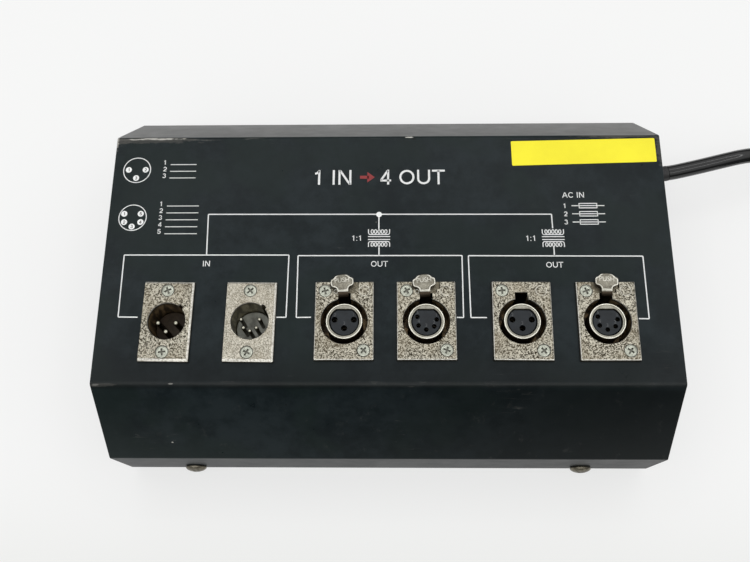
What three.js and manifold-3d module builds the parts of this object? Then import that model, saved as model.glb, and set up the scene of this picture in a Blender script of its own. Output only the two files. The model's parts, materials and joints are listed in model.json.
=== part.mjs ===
import * as THREE from "three";
import { mergeVertices } from "three/addons/utils/BufferGeometryUtils.js";
import Module from "manifold-3d";

const wasm = await Module();
wasm.setup();

// All sizes are in millimetres. The origin is on the table, under the middle of the box.
// +X is the right-hand side, +Y the back, +Z up.

// Fits shared by the whole box
const restGap = 0.3;
const overrun = 1;
const roundSides = 28;
const smallSides = 12;
const weldDistance = 1e-5;

// Folded steel box
const boxWidth = 254;
const topDepth = 118;
const slopeRun = 26.8;
const slopeDrop = 36.2;
const wallHeight = 35;
const sheet = 1.5;
const foldRadius = 2;
const foldSteps = 3;

// Rubber feet
const footHeight = 4;
const footRadius = 7;
const footTaper = 1;
const footInsetX = 22;
const footInsetY = 20;

// Base tray
const trayFlange = 18;

// Dome-head screws that hold the cover to the tray
const coverScrewInset = 33.8;
const coverScrewRise = 7;
const coverScrewHeadRadius = 5;
const coverScrewHeadHeight = 2.6;
const coverScrewShankRadius = 2;
const coverScrewLength = 9;
const coverScrewSlot = 4.8;
const coverScrewSlotWidth = 1;
const coverScrewSlotDepth = 1.2;

// Panel connectors, from left to right: kind, contacts, and how a latch lever stands in its slot
const connectorRowInset = 27.6;
const latchShift = 0.3;
const connectors = [
  { name: "in_3pin", male: true, contacts: 3 },
  { name: "in_5pin", male: true, contacts: 5 },
  { name: "out_a_3pin", male: false, contacts: 3, latch: { lean: 6.5, shift: -latchShift } },
  { name: "out_a_5pin", male: false, contacts: 5, latch: { lean: 5, shift: -latchShift } },
  { name: "out_b_3pin", male: false, contacts: 3 },
  { name: "out_b_5pin", male: false, contacts: 5, latch: { lean: -2.5, shift: latchShift } },
];

// Their places from the middle, as shares of the box's width
const connectorShares = [-0.3756, -0.2331, -0.072, 0.0685, 0.2315, 0.3756];

// Connector housings
const flangeThick = 2;
const flangeBevel = 0.45;
const maleFlangeWidth = 22.2;
const maleFlangeLength = 36.2;
const maleBoreRadius = 8.3;
const maleBarrelRadius = 10.2;
const femaleFlangeWidth = 26;
const femaleFlangeLength = 35.6;
const femaleBoreRadius = 10.25;
const femaleBarrelRadius = 12;
const barrelDepth = 20;
const barrelFloor = 3;
const keyWidth = 2.4;
const keyDepth = 1;
const keyTurn = 47;

// Inner sleeve of the female housings, and the insert in it
const sleeveRadius = 7.9;
const sleeveWall = 1.2;
const sleeveRecess = 0.4;
const sleeveFlat = 4.9;
const insertRecess = 0.9;
const contactHoleDepth = 6;

// Slot for the latch lever
const slotWidth = 5.6;
const slotEnd = 12.6;
const slotRelief = 1.4;
const tabPocketWidth = 13.4;
const tabPocketNeck = 10.4;
const tabPocketStep = 14.8;
const tabPocketDepth = 1.1;

// Contacts: their places from the connector's middle
const femaleContacts = {
  3: [
    [-4.2, 0.9],
    [0, -2.95],
    [4.2, 0.9],
  ],
  5: [
    [-3.9, 2.2],
    [-3.4, -1.75],
    [-0.1, -3.6],
    [3.4, -2.15],
    [4.5, 1],
  ],
};
const maleContacts = {
  3: [
    [-3.9, -0.45],
    [-0.2, -4.35],
    [3.9, -0.45],
  ],
  5: [
    [-4, 1.1],
    [-2.8, -2.7],
    [0, -4.1],
    [2.8, -2.7],
    [4, 1.1],
  ],
};
const pinRadius = { 3: 1.2, 5: 0.9 };
const pinRecess = 1;
const pinTailLength = 3;
const insertThick = 4;

// Latch lever: a flat head that rocks on its rear edge, a neck, and an arm with a hook in the slot
const leverThick = 1.3;
const armThick = 1;
const armFront = 10.9;
const armDepth = 11;
const hookReach = 0.8;
const hookHeight = 1.4;
const neckWidth = 4.5;
const headWidth = 9.8;
const neckEnd = 13.6;
const headFront = 15.6;
const headRear = 21.6;
const headCrown = 2.2;
const headCorner = 1.2;
const headLift = 2.2;
const curlThick = 1.3;
const curlRadius = 0.6;
const cornerBulge = 0.3;

// Countersunk screws in the flanges
const flangeScrewRadius = 1.5;
const flangeScrewHeadRadius = 2.65;
const flangeScrewHeadHeight = 1.5;
const flangeScrewLength = 9;
const flangeScrewSlot = 2.9;
const flangeScrewSlotWidth = 0.6;
const flangeScrewSlotDepth = 0.8;
const maleScrewX = -0.5;
const maleScrewY = 13.9;
const femaleScrewX = 8.5;
const femaleScrewY = 13.4;

// Circuit board and what stands on it
const boardMargin = 20;
const boardGap = 10;
const boardDepth = 96;
const boardThick = 1.6;
const boardY = 6;
const boardLift = 6.5;
const boardInset = 6;
const standoffRadius = 3;
const standoffSides = 6;
const chipSize = { width: 20, depth: 7.6, height: 4.4 };
const chipOffsetX = 12;
const chipOffsetY = -18;
const fuseRadius = 2.6;
const fuseLength = 20;
const fuseCapLength = 5;
const fuseCapLip = 0.2;
const fuseGlassShare = 0.88;
const fuseCount = 3;
const fusePitch = 9;
const fuseBlock = { width: 30, depth: 26, height: 5 };
const fuseInsetX = 25;
const fuseInsetY = 24;

// Mains transformer
const coreSize = { width: 45, depth: 22, height: 37 };
const windingSize = { width: 30, depth: 38, height: 24 };
const bracketSize = { width: 62, depth: 22, height: 1.5 };
const transformerInset = 43;
const transformerY = 8;

// Strain relief in the right-hand wall
const cordRadius = 3.9;
const exitY = 61.15;
const exitRise = 20;
const reliefHeadRadius = 7;
const reliefHeadThick = 3;
const reliefNeckRadius = 5.4;
const reliefCollarThick = 2.5;
const bootLength = 17;
const bootRootRadius = 6;
const bootTipRadius = 4.7;
const bootLean = 10;

// Cord from the strain relief to the coil, point by point, above the table
const cordFloorGap = 0.2;
const cordRest = cordRadius + cordFloorGap;
const cordPoints = [
  [146.54, 64.15, 24],
  [150.5, 64.85, 24.02],
  [156, 66.06, 24.03],
  [162, 67.37, 24.02],
  [168, 68.66, 24],
  [174, 69.95, 23.97],
  [180, 71.24, 23.92],
  [186, 72.53, 23.75],
  [193, 74.03, 22.81],
  [200, 75.54, 21.04],
  [207, 77.05, 18.72],
  [214, 78.56, 16.06],
  [221, 80.07, 13.24],
  [228, 81.58, 10.49],
  [235, 83.08, 8],
  [242, 84.59, 5.97],
  [249, 86.1, 4.6],
  [256, 87.61, cordRest],
];
const cordSteps = 18;
const cordSides = 12;

// Coil of the rest of the cord, lying on the table
const coilInnerRadius = 31.6;
const coilPitch = 8.4;
const coilLayer = 8.35;
const coilEntry = 102.15;
const coilTurns = 6.284;
const coilClimbTurns = 0.5;
const coilStepsPerTurn = 24;
const coilSides = 6;
const tailLength = 26;

// Plug
const plugBody = { width: 28, height: 23, length: 30 };
const plugCorner = 5;
const plugBevel = 2;
const plugNeckLength = 24;
const plugNeckRoot = 8;
const plugNeckTip = 5;
const plugNeckLap = 4;
const bladeWidth = 6.35;
const bladeThick = 1.5;
const bladeLength = 17;
const bladeSpacing = 12.7;
const bladeOffset = 5;
const earthRadius = 2.4;
const earthLength = 20;
const earthOffset = 7;

// What follows from the sizes above
const boxBottom = footHeight;
const wallTop = boxBottom + wallHeight;
const panelTop = wallTop + slopeDrop;
const panelFront = topDepth / 2;
const wallFront = panelFront + slopeRun;
const trayTop = boxBottom + sheet;
const coverScrewX = boxWidth / 2 - coverScrewInset;
const coverScrewZ = boxBottom + coverScrewRise;
const connectorRow = -panelFront + connectorRowInset;
const transformerX = boxWidth / 2 - transformerInset;
const boardLeft = -boxWidth / 2 + boardMargin;
const boardRight = transformerX - bracketSize.width / 2 - boardGap;
const boardWidth = boardRight - boardLeft;
const boardX = (boardLeft + boardRight) / 2;
const chipX = boardX + chipOffsetX;
const chipY = boardY + chipOffsetY;
const fuseX = boardRight - fuseInsetX;
const fuseY = boardY + boardDepth / 2 - fuseInsetY;
const exitZ = boxBottom + exitRise;

const finish = (color, roughness, metalness) =>
  new THREE.MeshStandardMaterial({ color, roughness, metalness, flatShading: true });
const paint = finish(0x2a3032, 0.55, 0.1);
const zincPlate = finish(0x9a9a98, 0.4, 0.8);
const castNickel = finish(0xaba996, 0.45, 0.8);
const brightNickel = finish(0xc4c2b4, 0.3, 0.9);
const screwSteel = finish(0xc8c8c2, 0.3, 0.9);
const darkPlastic = finish(0x24282a, 0.5, 0);
const rubber = finish(0x1b1c1d, 0.75, 0);
const cordJacket = finish(0x0f1011, 0.35, 0);
const boardGreen = finish(0x1f5a3a, 0.5, 0);
const copperWinding = finish(0x8a4a24, 0.45, 0.4);
const fuseGlass = finish(0xd8dcdc, 0.15, 0.2);

const part = new THREE.Group();

function addMesh(name, geometry, material, parent = part) {
  const mesh = new THREE.Mesh(geometry, material);
  mesh.name = name;
  parent.add(mesh);
  return mesh;
}

function groupAt(x, y, z, turn = 0, parent = part) {
  const group = new THREE.Group();
  group.position.set(x, y, z);
  group.rotation.z = THREE.MathUtils.degToRad(turn);
  parent.add(group);
  return group;
}

// Joins and cuts
function solidOf(geometry) {
  const bare = geometry.clone();
  bare.deleteAttribute("normal");
  bare.deleteAttribute("uv");
  const merged = mergeVertices(bare, weldDistance);
  const vertProperties = new Float32Array(merged.attributes.position.array);
  const triVerts = new Uint32Array(merged.index.array);
  return new wasm.Manifold(new wasm.Mesh({ numProp: 3, vertProperties, triVerts }));
}

function geometryOf(solid) {
  const { vertProperties, triVerts } = solid.getMesh();
  const geometry = new THREE.BufferGeometry();
  geometry.setAttribute("position", new THREE.BufferAttribute(vertProperties, 3));
  geometry.setIndex(new THREE.BufferAttribute(triVerts, 1));
  return geometry;
}

// A body with other geometries joined to it and cut from it
function shaped(body, joined = [], cut = []) {
  let solid = solidOf(body);
  for (const piece of joined) {
    solid = solid.add(solidOf(piece));
  }
  for (const piece of cut) {
    solid = solid.subtract(solidOf(piece));
  }
  return geometryOf(solid);
}

// An upright cylinder from low to high
function post(radius, low, high, sides = roundSides, x = 0, y = 0) {
  const cylinder = new THREE.CylinderGeometry(radius, radius, high - low, sides);
  cylinder.rotateX(Math.PI / 2);
  return cylinder.translate(x, y, (low + high) / 2);
}

// A block with its middle at x, y and its faces at low and high
function block(width, depth, low, high, x = 0, y = 0) {
  return new THREE.BoxGeometry(width, depth, high - low).translate(x, y, (low + high) / 2);
}

// A turned piece from points of radius and height, starting and ending on the axis
function turned(points, sides) {
  const profile = points.map(([radius, height]) => new THREE.Vector2(radius, height));
  return new THREE.LatheGeometry(profile, sides).rotateX(Math.PI / 2);
}

// An outline in the YZ plane, pulled out along X and centred on the YZ plane
const alongX = new THREE.Matrix4().makeBasis(
  new THREE.Vector3(0, 1, 0),
  new THREE.Vector3(0, 0, 1),
  new THREE.Vector3(1, 0, 0),
);

function pulledAlongX(points, width) {
  const shape = new THREE.Shape(points);
  const geometry = new THREE.ExtrudeGeometry(shape, { depth: width, bevelEnabled: false });
  return geometry.translate(0, 0, -width / 2).applyMatrix4(alongX);
}

// An outline with its corners rounded where a radius is given
function roundedOutline(corners, radii, steps) {
  const points = [];
  corners.forEach((corner, i) => {
    const radius = radii[i];
    if (!radius) {
      points.push(corner.clone());
      return;
    }
    const before = corners[(i + corners.length - 1) % corners.length];
    const after = corners[(i + 1) % corners.length];
    const into = corner.clone().sub(before).normalize();
    const out = after.clone().sub(corner).normalize();
    const turn = Math.atan2(into.cross(out), into.dot(out));
    const reach = radius * Math.tan(Math.abs(turn) / 2);
    const side = new THREE.Vector2(-into.y, into.x).multiplyScalar(Math.sign(turn) * radius);
    const start = corner.clone().addScaledVector(into, -reach);
    const centre = start.clone().add(side);
    for (let k = 0; k <= steps; k += 1) {
      points.push(start.clone().rotateAround(centre, (turn * k) / steps));
    }
  });
  return points;
}

// Folded cover: the same outline, moved inward by the sheet's thickness for the inner face
const foldCorners = [
  [-wallFront, boxBottom],
  [wallFront, boxBottom],
  [wallFront, wallTop],
  [panelFront, panelTop],
  [-panelFront, panelTop],
  [-wallFront, wallTop],
].map(([y, z]) => new THREE.Vector2(y, z));

function movedInward(corners, distance) {
  return corners.map((corner, i) => {
    const before = corners[(i + corners.length - 1) % corners.length];
    const after = corners[(i + 1) % corners.length];
    const into = corner.clone().sub(before).normalize();
    const out = after.clone().sub(corner).normalize();
    const inward = new THREE.Vector2(-into.y - out.y, into.x + out.x);
    return corner.clone().addScaledVector(inward, distance / (1 + into.dot(out)));
  });
}

function boxOutline(inset, radius, bottom) {
  const corners = movedInward(foldCorners, inset);
  corners[0].y = bottom;
  corners[1].y = bottom;
  return roundedOutline(corners, [0, 0, radius, radius, radius, radius], foldSteps);
}

const connectorX = (i) => connectorShares[i] * boxWidth;

function screwPlaces(connector) {
  return connector.male
    ? [[maleScrewX, maleScrewY], [maleScrewX, -maleScrewY]]
    : [[-femaleScrewX, femaleScrewY], [femaleScrewX, -femaleScrewY]];
}

const coverScrewPlaces = [-1, 1].flatMap((side) => [-1, 1].map((end) => ({ side, end })));

function alongYHole(radius, x, y, z) {
  const hole = new THREE.CylinderGeometry(radius, radius, 2 * (sheet + overrun) + restGap, smallSides);
  return hole.translate(x, y, z);
}

function makeCover() {
  const outer = pulledAlongX(boxOutline(0, foldRadius, boxBottom), boxWidth);
  const inside = boxOutline(sheet, foldRadius - sheet, boxBottom - overrun);
  const cuts = [pulledAlongX(inside, boxWidth - 2 * sheet)];
  connectors.forEach((connector, i) => {
    const barrel = connector.male ? maleBarrelRadius : femaleBarrelRadius;
    const low = panelTop - sheet - overrun;
    const high = panelTop + overrun;
    cuts.push(post(barrel + restGap, low, high, roundSides, connectorX(i), connectorRow));
    if (!connector.male) {
      const reach = slotEnd + slotRelief;
      cuts.push(block(slotWidth, reach, low, high, connectorX(i), connectorRow + reach / 2));
    }
    for (const [x, y] of screwPlaces(connector)) {
      const radius = flangeScrewRadius + restGap;
      cuts.push(post(radius, low, high, smallSides, connectorX(i) + x, connectorRow + y));
    }
  });
  for (const { side, end } of coverScrewPlaces) {
    const radius = coverScrewShankRadius + restGap;
    cuts.push(alongYHole(radius, side * coverScrewX, end * (wallFront - sheet / 2), coverScrewZ));
  }
  const cordHole = new THREE.CylinderGeometry(
    reliefNeckRadius + restGap,
    reliefNeckRadius + restGap,
    2 * (sheet + overrun),
    roundSides,
  );
  cuts.push(cordHole.rotateZ(Math.PI / 2).translate(boxWidth / 2, exitY, exitZ));
  addMesh("top_cover", shaped(outer, [], cuts), paint);
}

function makeBase() {
  const half = wallFront - sheet - restGap;
  const outline = [
    [-half, boxBottom],
    [half, boxBottom],
    [half, boxBottom + trayFlange],
    [half - sheet, boxBottom + trayFlange],
    [half - sheet, trayTop],
    [-half + sheet, trayTop],
    [-half + sheet, boxBottom + trayFlange],
    [-half, boxBottom + trayFlange],
  ].map(([y, z]) => new THREE.Vector2(y, z));
  const tray = pulledAlongX(outline, boxWidth - 2 * (sheet + restGap));
  const holes = coverScrewPlaces.map(({ side, end }) =>
    alongYHole(
      coverScrewShankRadius + restGap,
      side * coverScrewX,
      end * (half - sheet / 2),
      coverScrewZ,
    ),
  );
  addMesh("base_plate", shaped(tray, [], holes), zincPlate);
  for (const { side, end } of coverScrewPlaces) {
    const x = side * (boxWidth / 2 - footInsetX);
    const y = end * (wallFront - footInsetY);
    const foot = turned(
      [
        [0, 0],
        [footRadius - footTaper, 0],
        [footRadius, footHeight],
        [0, footHeight],
      ],
      smallSides,
    );
    addMesh(cornerName("foot", side, end), foot, rubber, groupAt(x, y, 0));
  }
}

function cornerName(stem, side, end) {
  return `${stem}_${end < 0 ? "front" : "rear"}_${side < 0 ? "left" : "right"}`;
}

// A cross recess, cut down into a screw's head
function crossRecess(length, width, depth, top) {
  return [
    block(length, width, top - depth, top + overrun),
    block(width, length, top - depth, top + overrun),
  ];
}

function makeCoverScrews() {
  const under = restGap;
  const top = under + coverScrewHeadHeight;
  const domeSteps = 4;
  const dome = [];
  for (let k = 0; k <= domeSteps; k += 1) {
    const angle = (k / domeSteps) * (Math.PI / 2);
    dome.push([coverScrewHeadRadius * Math.cos(angle), under + coverScrewHeadHeight * Math.sin(angle)]);
  }
  dome[domeSteps][0] = 0;
  const profile = [
    [0, -coverScrewLength],
    [coverScrewShankRadius, -coverScrewLength],
    [coverScrewShankRadius, under],
    ...dome,
  ];
  const cuts = crossRecess(coverScrewSlot, coverScrewSlotWidth, coverScrewSlotDepth, top);
  for (const { side, end } of coverScrewPlaces) {
    const screw = shaped(turned(profile, smallSides), [], cuts);
    screw.rotateX((-end * Math.PI) / 2);
    const seat = groupAt(side * coverScrewX, end * wallFront, coverScrewZ);
    addMesh(cornerName("cover_screw", side, end), screw, screwSteel, seat);
  }
}

// Flange with a small bevel round its upper edge
function flangePlate(width, length) {
  const x = width / 2 - flangeBevel;
  const y = length / 2 - flangeBevel;
  const shape = new THREE.Shape([
    new THREE.Vector2(-x, -y),
    new THREE.Vector2(x, -y),
    new THREE.Vector2(x, y),
    new THREE.Vector2(-x, y),
  ]);
  const plate = new THREE.ExtrudeGeometry(shape, {
    depth: flangeThick,
    bevelEnabled: true,
    bevelThickness: flangeBevel,
    bevelSize: flangeBevel,
    bevelSegments: 1,
  });
  const lower = block(width + overrun, length + overrun, -flangeThick, 0);
  return geometryOf(solidOf(plate.translate(0, 0, -flangeBevel)).subtract(solidOf(lower)));
}

function screwHole(x, y) {
  const top = flangeThick + overrun;
  const seat = flangeThick - flangeScrewHeadHeight;
  const radius = flangeScrewRadius + restGap;
  const headRadius = flangeScrewHeadRadius + restGap;
  const profile = [
    [0, -overrun],
    [radius, -overrun],
    [radius, seat - restGap],
    [headRadius, flangeThick - restGap],
    [headRadius, top],
    [0, top],
  ];
  return turned(profile, smallSides).translate(x, y, 0);
}

function makeFlangeScrews(connector, seat) {
  const top = flangeThick - restGap / 2;
  const neck = top - flangeScrewHeadHeight;
  const profile = [
    [0, -flangeScrewLength],
    [flangeScrewRadius, -flangeScrewLength],
    [flangeScrewRadius, neck],
    [flangeScrewHeadRadius, top - restGap],
    [flangeScrewHeadRadius, top],
    [0, top],
  ];
  const cuts = crossRecess(flangeScrewSlot, flangeScrewSlotWidth, flangeScrewSlotDepth, top);
  screwPlaces(connector).forEach(([x, y], i) => {
    const screw = shaped(turned(profile, smallSides), [], cuts).translate(x, y, 0);
    addMesh(`screw_${connector.name}_${i === 0 ? "rear" : "front"}`, screw, screwSteel, seat);
  });
}

function contactPlaces(connector) {
  return (connector.male ? maleContacts : femaleContacts)[connector.contacts];
}

function makeMale(connector, seat) {
  const wellFloor = -barrelDepth + barrelFloor;
  const key = block(keyWidth, maleBoreRadius + keyDepth, wellFloor, flangeThick + overrun);
  key.translate(0, (maleBoreRadius + keyDepth) / 2, 0);
  key.rotateZ(THREE.MathUtils.degToRad(keyTurn - 90));
  const housing = shaped(
    flangePlate(maleFlangeWidth, maleFlangeLength),
    [post(maleBarrelRadius, -barrelDepth, flangeThick / 2)],
    [
      post(maleBoreRadius, -barrelDepth - overrun, flangeThick + overrun),
      key,
      ...screwPlaces(connector).map(([x, y]) => screwHole(x, y)),
    ],
  );
  addMesh(`housing_${connector.name}`, housing, castNickel, seat);
  const radius = pinRadius[connector.contacts];
  const insertLow = wellFloor - insertThick;
  const insert = shaped(
    post(maleBoreRadius - restGap, insertLow, wellFloor),
    [],
    contactPlaces(connector).map(([x, y]) =>
      post(radius + restGap, insertLow - overrun, wellFloor + overrun, smallSides, x, y),
    ),
  );
  addMesh(`insert_${connector.name}`, insert, darkPlastic, seat);
  const tip = flangeThick - pinRecess;
  const low = insertLow - pinTailLength;
  contactPlaces(connector).forEach(([x, y], i) => {
    const pin = turned(
      [
        [0, low],
        [radius, low],
        [radius, tip - radius],
        [radius * Math.SQRT1_2, tip - radius * (1 - Math.SQRT1_2)],
        [0, tip],
      ],
      smallSides,
    );
    addMesh(`pin_${connector.name}_${i + 1}`, pin.translate(x, y, 0), brightNickel, seat);
  });
}

// Round stock with a flat on its rear side
function flattedPost(radius, low, high, flat) {
  const width = 2 * (radius + overrun);
  const off = block(width, width, low - overrun, high + overrun, 0, flat + width / 2);
  return shaped(post(radius, low, high), [], [off]);
}

function makeFemale(connector, seat) {
  const grooveFloor = -barrelDepth + barrelFloor;
  const groove = shaped(
    post(femaleBoreRadius, grooveFloor, flangeThick + overrun),
    [],
    [post(sleeveRadius, grooveFloor - overrun, flangeThick - sleeveRecess)],
  );
  const bore = sleeveRadius - sleeveWall;
  const slotReach = slotEnd - (sleeveRadius + femaleBoreRadius) / 2;
  const slotMiddle = slotEnd - slotReach / 2;
  const pocket = (width, start) => {
    const length = femaleFlangeLength / 2 - start + overrun;
    const low = flangeThick - tabPocketDepth;
    return block(width, length, low, flangeThick + overrun, 0, start + length / 2);
  };
  const housing = shaped(
    flangePlate(femaleFlangeWidth, femaleFlangeLength),
    [post(femaleBarrelRadius, -barrelDepth, flangeThick / 2)],
    [
      groove,
      flattedPost(bore, -barrelDepth - overrun, flangeThick + overrun, sleeveFlat),
      block(slotWidth, slotReach, grooveFloor, flangeThick + overrun, 0, slotMiddle),
      ...(connector.latch ? [pocket(tabPocketNeck, slotEnd), pocket(tabPocketWidth, tabPocketStep)] : []),
      ...screwPlaces(connector).map(([x, y]) => screwHole(x, y)),
    ],
  );
  addMesh(`housing_${connector.name}`, housing, castNickel, seat);
  const insertTop = flangeThick - sleeveRecess - insertRecess;
  const holeRadius = pinRadius[connector.contacts] + restGap / 2;
  const insert = shaped(
    flattedPost(bore - restGap, -barrelDepth, insertTop, sleeveFlat - restGap),
    [],
    contactPlaces(connector).map(([x, y]) =>
      post(holeRadius, insertTop - contactHoleDepth, insertTop + overrun, smallSides, x, y),
    ),
  );
  addMesh(`insert_${connector.name}`, insert, darkPlastic, seat);
}

// The lever is its side view pulled out across the connector, kept inside its plan
function makeLatch(connector, seat) {
  const under = headLift;
  const top = headLift + leverThick;
  const side = roundedOutline(
    [
      [armFront, -armDepth],
      [armFront + armThick, -armDepth],
      [armFront + armThick, under],
      [headRear - curlThick, under],
      [headRear - curlThick, restGap],
      [headRear, restGap],
      [headRear, top],
      [armFront, top],
      [armFront, -armDepth + hookHeight],
      [armFront - hookReach, -armDepth + hookHeight / 2],
    ].map(([y, z]) => new THREE.Vector2(y, z)),
    [0, 0, 0, 0, curlRadius, curlRadius, leverThick, leverThick, 0, 0],
    foldSteps,
  );
  const plan = new THREE.Shape();
  const neck = neckWidth / 2;
  const head = headWidth / 2;
  const sideRear = headRear - headCrown;
  const cornerStart = headFront + headCorner;
  plan.moveTo(-neck, 0);
  plan.lineTo(neck, 0);
  plan.lineTo(neck, neckEnd);
  plan.quadraticCurveTo(neck, headFront - cornerBulge, head - headCorner, headFront);
  plan.quadraticCurveTo(head, headFront + cornerBulge, head, cornerStart);
  plan.lineTo(head, sideRear - headCorner);
  plan.quadraticCurveTo(head, sideRear - cornerBulge, head - headCorner, sideRear);
  plan.quadraticCurveTo(0, headRear + headCrown, -head + headCorner, sideRear);
  plan.quadraticCurveTo(-head, sideRear - cornerBulge, -head, sideRear - headCorner);
  plan.lineTo(-head, cornerStart);
  plan.quadraticCurveTo(-head, headFront + cornerBulge, -head + headCorner, headFront);
  plan.quadraticCurveTo(-neck, headFront - cornerBulge, -neck, neckEnd);
  const tall = armDepth + top + 2 * overrun;
  const planBlock = new THREE.ExtrudeGeometry(plan, {
    depth: tall,
    bevelEnabled: false,
    curveSegments: foldSteps,
  });
  planBlock.translate(0, 0, -armDepth - overrun);
  const lever = solidOf(pulledAlongX(side, headWidth + overrun)).intersect(solidOf(planBlock));
  const { lean, shift } = connector.latch;
  const turnAt = groupAt(shift, armFront, 0, lean, seat);
  const geometry = geometryOf(lever).translate(0, -armFront, 0);
  addMesh(`latch_${connector.name}`, geometry, brightNickel, turnAt);
}

function makeConnectors() {
  connectors.forEach((connector, i) => {
    const seat = groupAt(connectorX(i), connectorRow, panelTop);
    if (connector.male) {
      makeMale(connector, seat);
    } else {
      makeFemale(connector, seat);
    }
    if (connector.latch) {
      makeLatch(connector, seat);
    }
    makeFlangeScrews(connector, seat);
  });
}

function makeElectronics() {
  const boardLow = trayTop + boardLift;
  const boardHigh = boardLow + boardThick;
  const board = block(boardWidth, boardDepth, boardLow, boardHigh, boardX, boardY);
  addMesh("circuit_board", board, boardGreen);
  for (const { side, end } of coverScrewPlaces) {
    const x = boardX + side * (boardWidth / 2 - boardInset);
    const y = boardY + end * (boardDepth / 2 - boardInset);
    const standoff = post(standoffRadius, trayTop, boardLow, standoffSides, x, y);
    addMesh(cornerName("standoff", side, end), standoff, zincPlate);
  }
  const chip = block(chipSize.width, chipSize.depth, boardHigh, boardHigh + chipSize.height, chipX, chipY);
  addMesh("driver_chip", chip, darkPlastic);
  const blockTop = boardHigh + fuseBlock.height;
  const fuseAxis = blockTop;
  const troughs = [];
  const fusePlaces = [];
  for (let i = 0; i < fuseCount; i += 1) {
    const y = fuseY + (i - (fuseCount - 1) / 2) * fusePitch;
    fusePlaces.push(y);
    const trough = new THREE.CylinderGeometry(
      fuseRadius + restGap,
      fuseRadius + restGap,
      fuseBlock.width + 2 * overrun,
      smallSides,
    );
    troughs.push(trough.rotateZ(Math.PI / 2).translate(fuseX, y, fuseAxis));
  }
  const holder = block(fuseBlock.width, fuseBlock.depth, boardHigh, blockTop, fuseX, fuseY);
  addMesh("fuse_block", shaped(holder, [], troughs), darkPlastic);
  fusePlaces.forEach((y, i) => {
    const half = fuseLength / 2;
    const glass = fuseRadius * fuseGlassShare;
    const fuse = new THREE.LatheGeometry(
      [
        [0, -half],
        [fuseRadius - fuseCapLip, -half],
        [fuseRadius, -half + fuseCapLip],
        [fuseRadius, -half + fuseCapLength],
        [glass, -half + fuseCapLength],
        [glass, half - fuseCapLength],
        [fuseRadius, half - fuseCapLength],
        [fuseRadius, half - fuseCapLip],
        [fuseRadius - fuseCapLip, half],
        [0, half],
      ].map(([radius, along]) => new THREE.Vector2(radius, along)),
      smallSides,
    );
    addMesh(`fuse_${i + 1}`, fuse.rotateZ(Math.PI / 2), fuseGlass, groupAt(fuseX, y, fuseAxis));
  });
  const coreMiddle = trayTop + coreSize.height / 2;
  const winding = block(
    windingSize.width,
    windingSize.depth,
    coreMiddle - windingSize.height / 2,
    coreMiddle + windingSize.height / 2,
  );
  const transformer = shaped(
    block(coreSize.width, coreSize.depth, trayTop, trayTop + coreSize.height),
    [winding, block(bracketSize.width, bracketSize.depth, trayTop, trayTop + bracketSize.height)],
  );
  addMesh("mains_transformer", transformer, copperWinding, groupAt(transformerX, transformerY, 0));
}

// Strain relief: a head inside the wall, a neck in the hole, a collar outside and a leaning tapered boot
function makeStrainRelief() {
  const inner = -sheet - restGap - reliefHeadThick;
  const collarEnd = restGap + reliefCollarThick;
  const plug = turned(
    [
      [0, inner],
      [reliefHeadRadius, inner],
      [reliefHeadRadius, inner + reliefHeadThick],
      [reliefNeckRadius, inner + reliefHeadThick],
      [reliefNeckRadius, restGap],
      [reliefHeadRadius, restGap],
      [reliefHeadRadius, collarEnd],
      [0, collarEnd],
    ],
    roundSides,
  ).rotateY(Math.PI / 2);
  const lap = reliefCollarThick / 2;
  const boot = turned(
    [
      [0, -lap],
      [bootRootRadius, -lap],
      [bootTipRadius, bootLength],
      [0, bootLength],
    ],
    roundSides,
  );
  boot.rotateY(Math.PI / 2).rotateZ(THREE.MathUtils.degToRad(bootLean));
  boot.translate(collarEnd - restGap, 0, 0);
  const seat = groupAt(boxWidth / 2, exitY, exitZ);
  addMesh("strain_relief", shaped(plug, [boot]), rubber, seat);
}

function circle(radius, sides) {
  const points = [];
  for (let k = 0; k < sides; k += 1) {
    const angle = (2 * Math.PI * k) / sides;
    points.push(new THREE.Vector2(radius * Math.cos(angle), radius * Math.sin(angle)));
  }
  return new THREE.Shape(points);
}

function makeCord() {
  const route = new THREE.CatmullRomCurve3(cordPoints.map((point) => new THREE.Vector3(...point)));
  const tube = new THREE.ExtrudeGeometry(circle(cordRadius, cordSides), {
    steps: cordSteps,
    extrudePath: route,
    bevelEnabled: false,
  });
  addMesh("power_cord", tube, cordJacket);
}

// The coil spirals in on the table, climbs a layer where it turns back, and spirals out on top
const coilHalfTurns = coilTurns / 2;
const coilStartRadius = coilInnerRadius + coilHalfTurns * coilPitch;
const coilStart = new THREE.Vector3(...cordPoints[cordPoints.length - 1]);
const entryAngle = THREE.MathUtils.degToRad(coilEntry);
const entryHeading = new THREE.Vector3(Math.sin(entryAngle), -Math.cos(entryAngle), 0);
const straightEnd = 2 * cordRadius;
const spiralStart = coilStart.clone().addScaledVector(entryHeading, restGap + straightEnd);
const coilCentre = new THREE.Vector3(
  spiralStart.x - coilStartRadius * Math.cos(entryAngle),
  spiralStart.y - coilStartRadius * Math.sin(entryAngle),
  spiralStart.z,
);

function coilPoint(turn) {
  const fromMiddle = turn - coilHalfTurns;
  const radius = coilInnerRadius + coilPitch * Math.abs(fromMiddle);
  const climb = THREE.MathUtils.smoothstep(fromMiddle, -coilClimbTurns / 2, coilClimbTurns / 2);
  const angle = entryAngle - 2 * Math.PI * turn;
  return new THREE.Vector3(
    coilCentre.x + radius * Math.cos(angle),
    coilCentre.y + radius * Math.sin(angle),
    coilCentre.z + coilLayer * climb,
  );
}

const exitAngle = entryAngle - 2 * Math.PI * coilTurns;
const exitHeading = new THREE.Vector3(Math.sin(exitAngle), -Math.cos(exitAngle), 0);
const spiralEnd = coilPoint(coilTurns);
const coilEnd = spiralEnd.clone().addScaledVector(exitHeading, tailLength);

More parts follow.
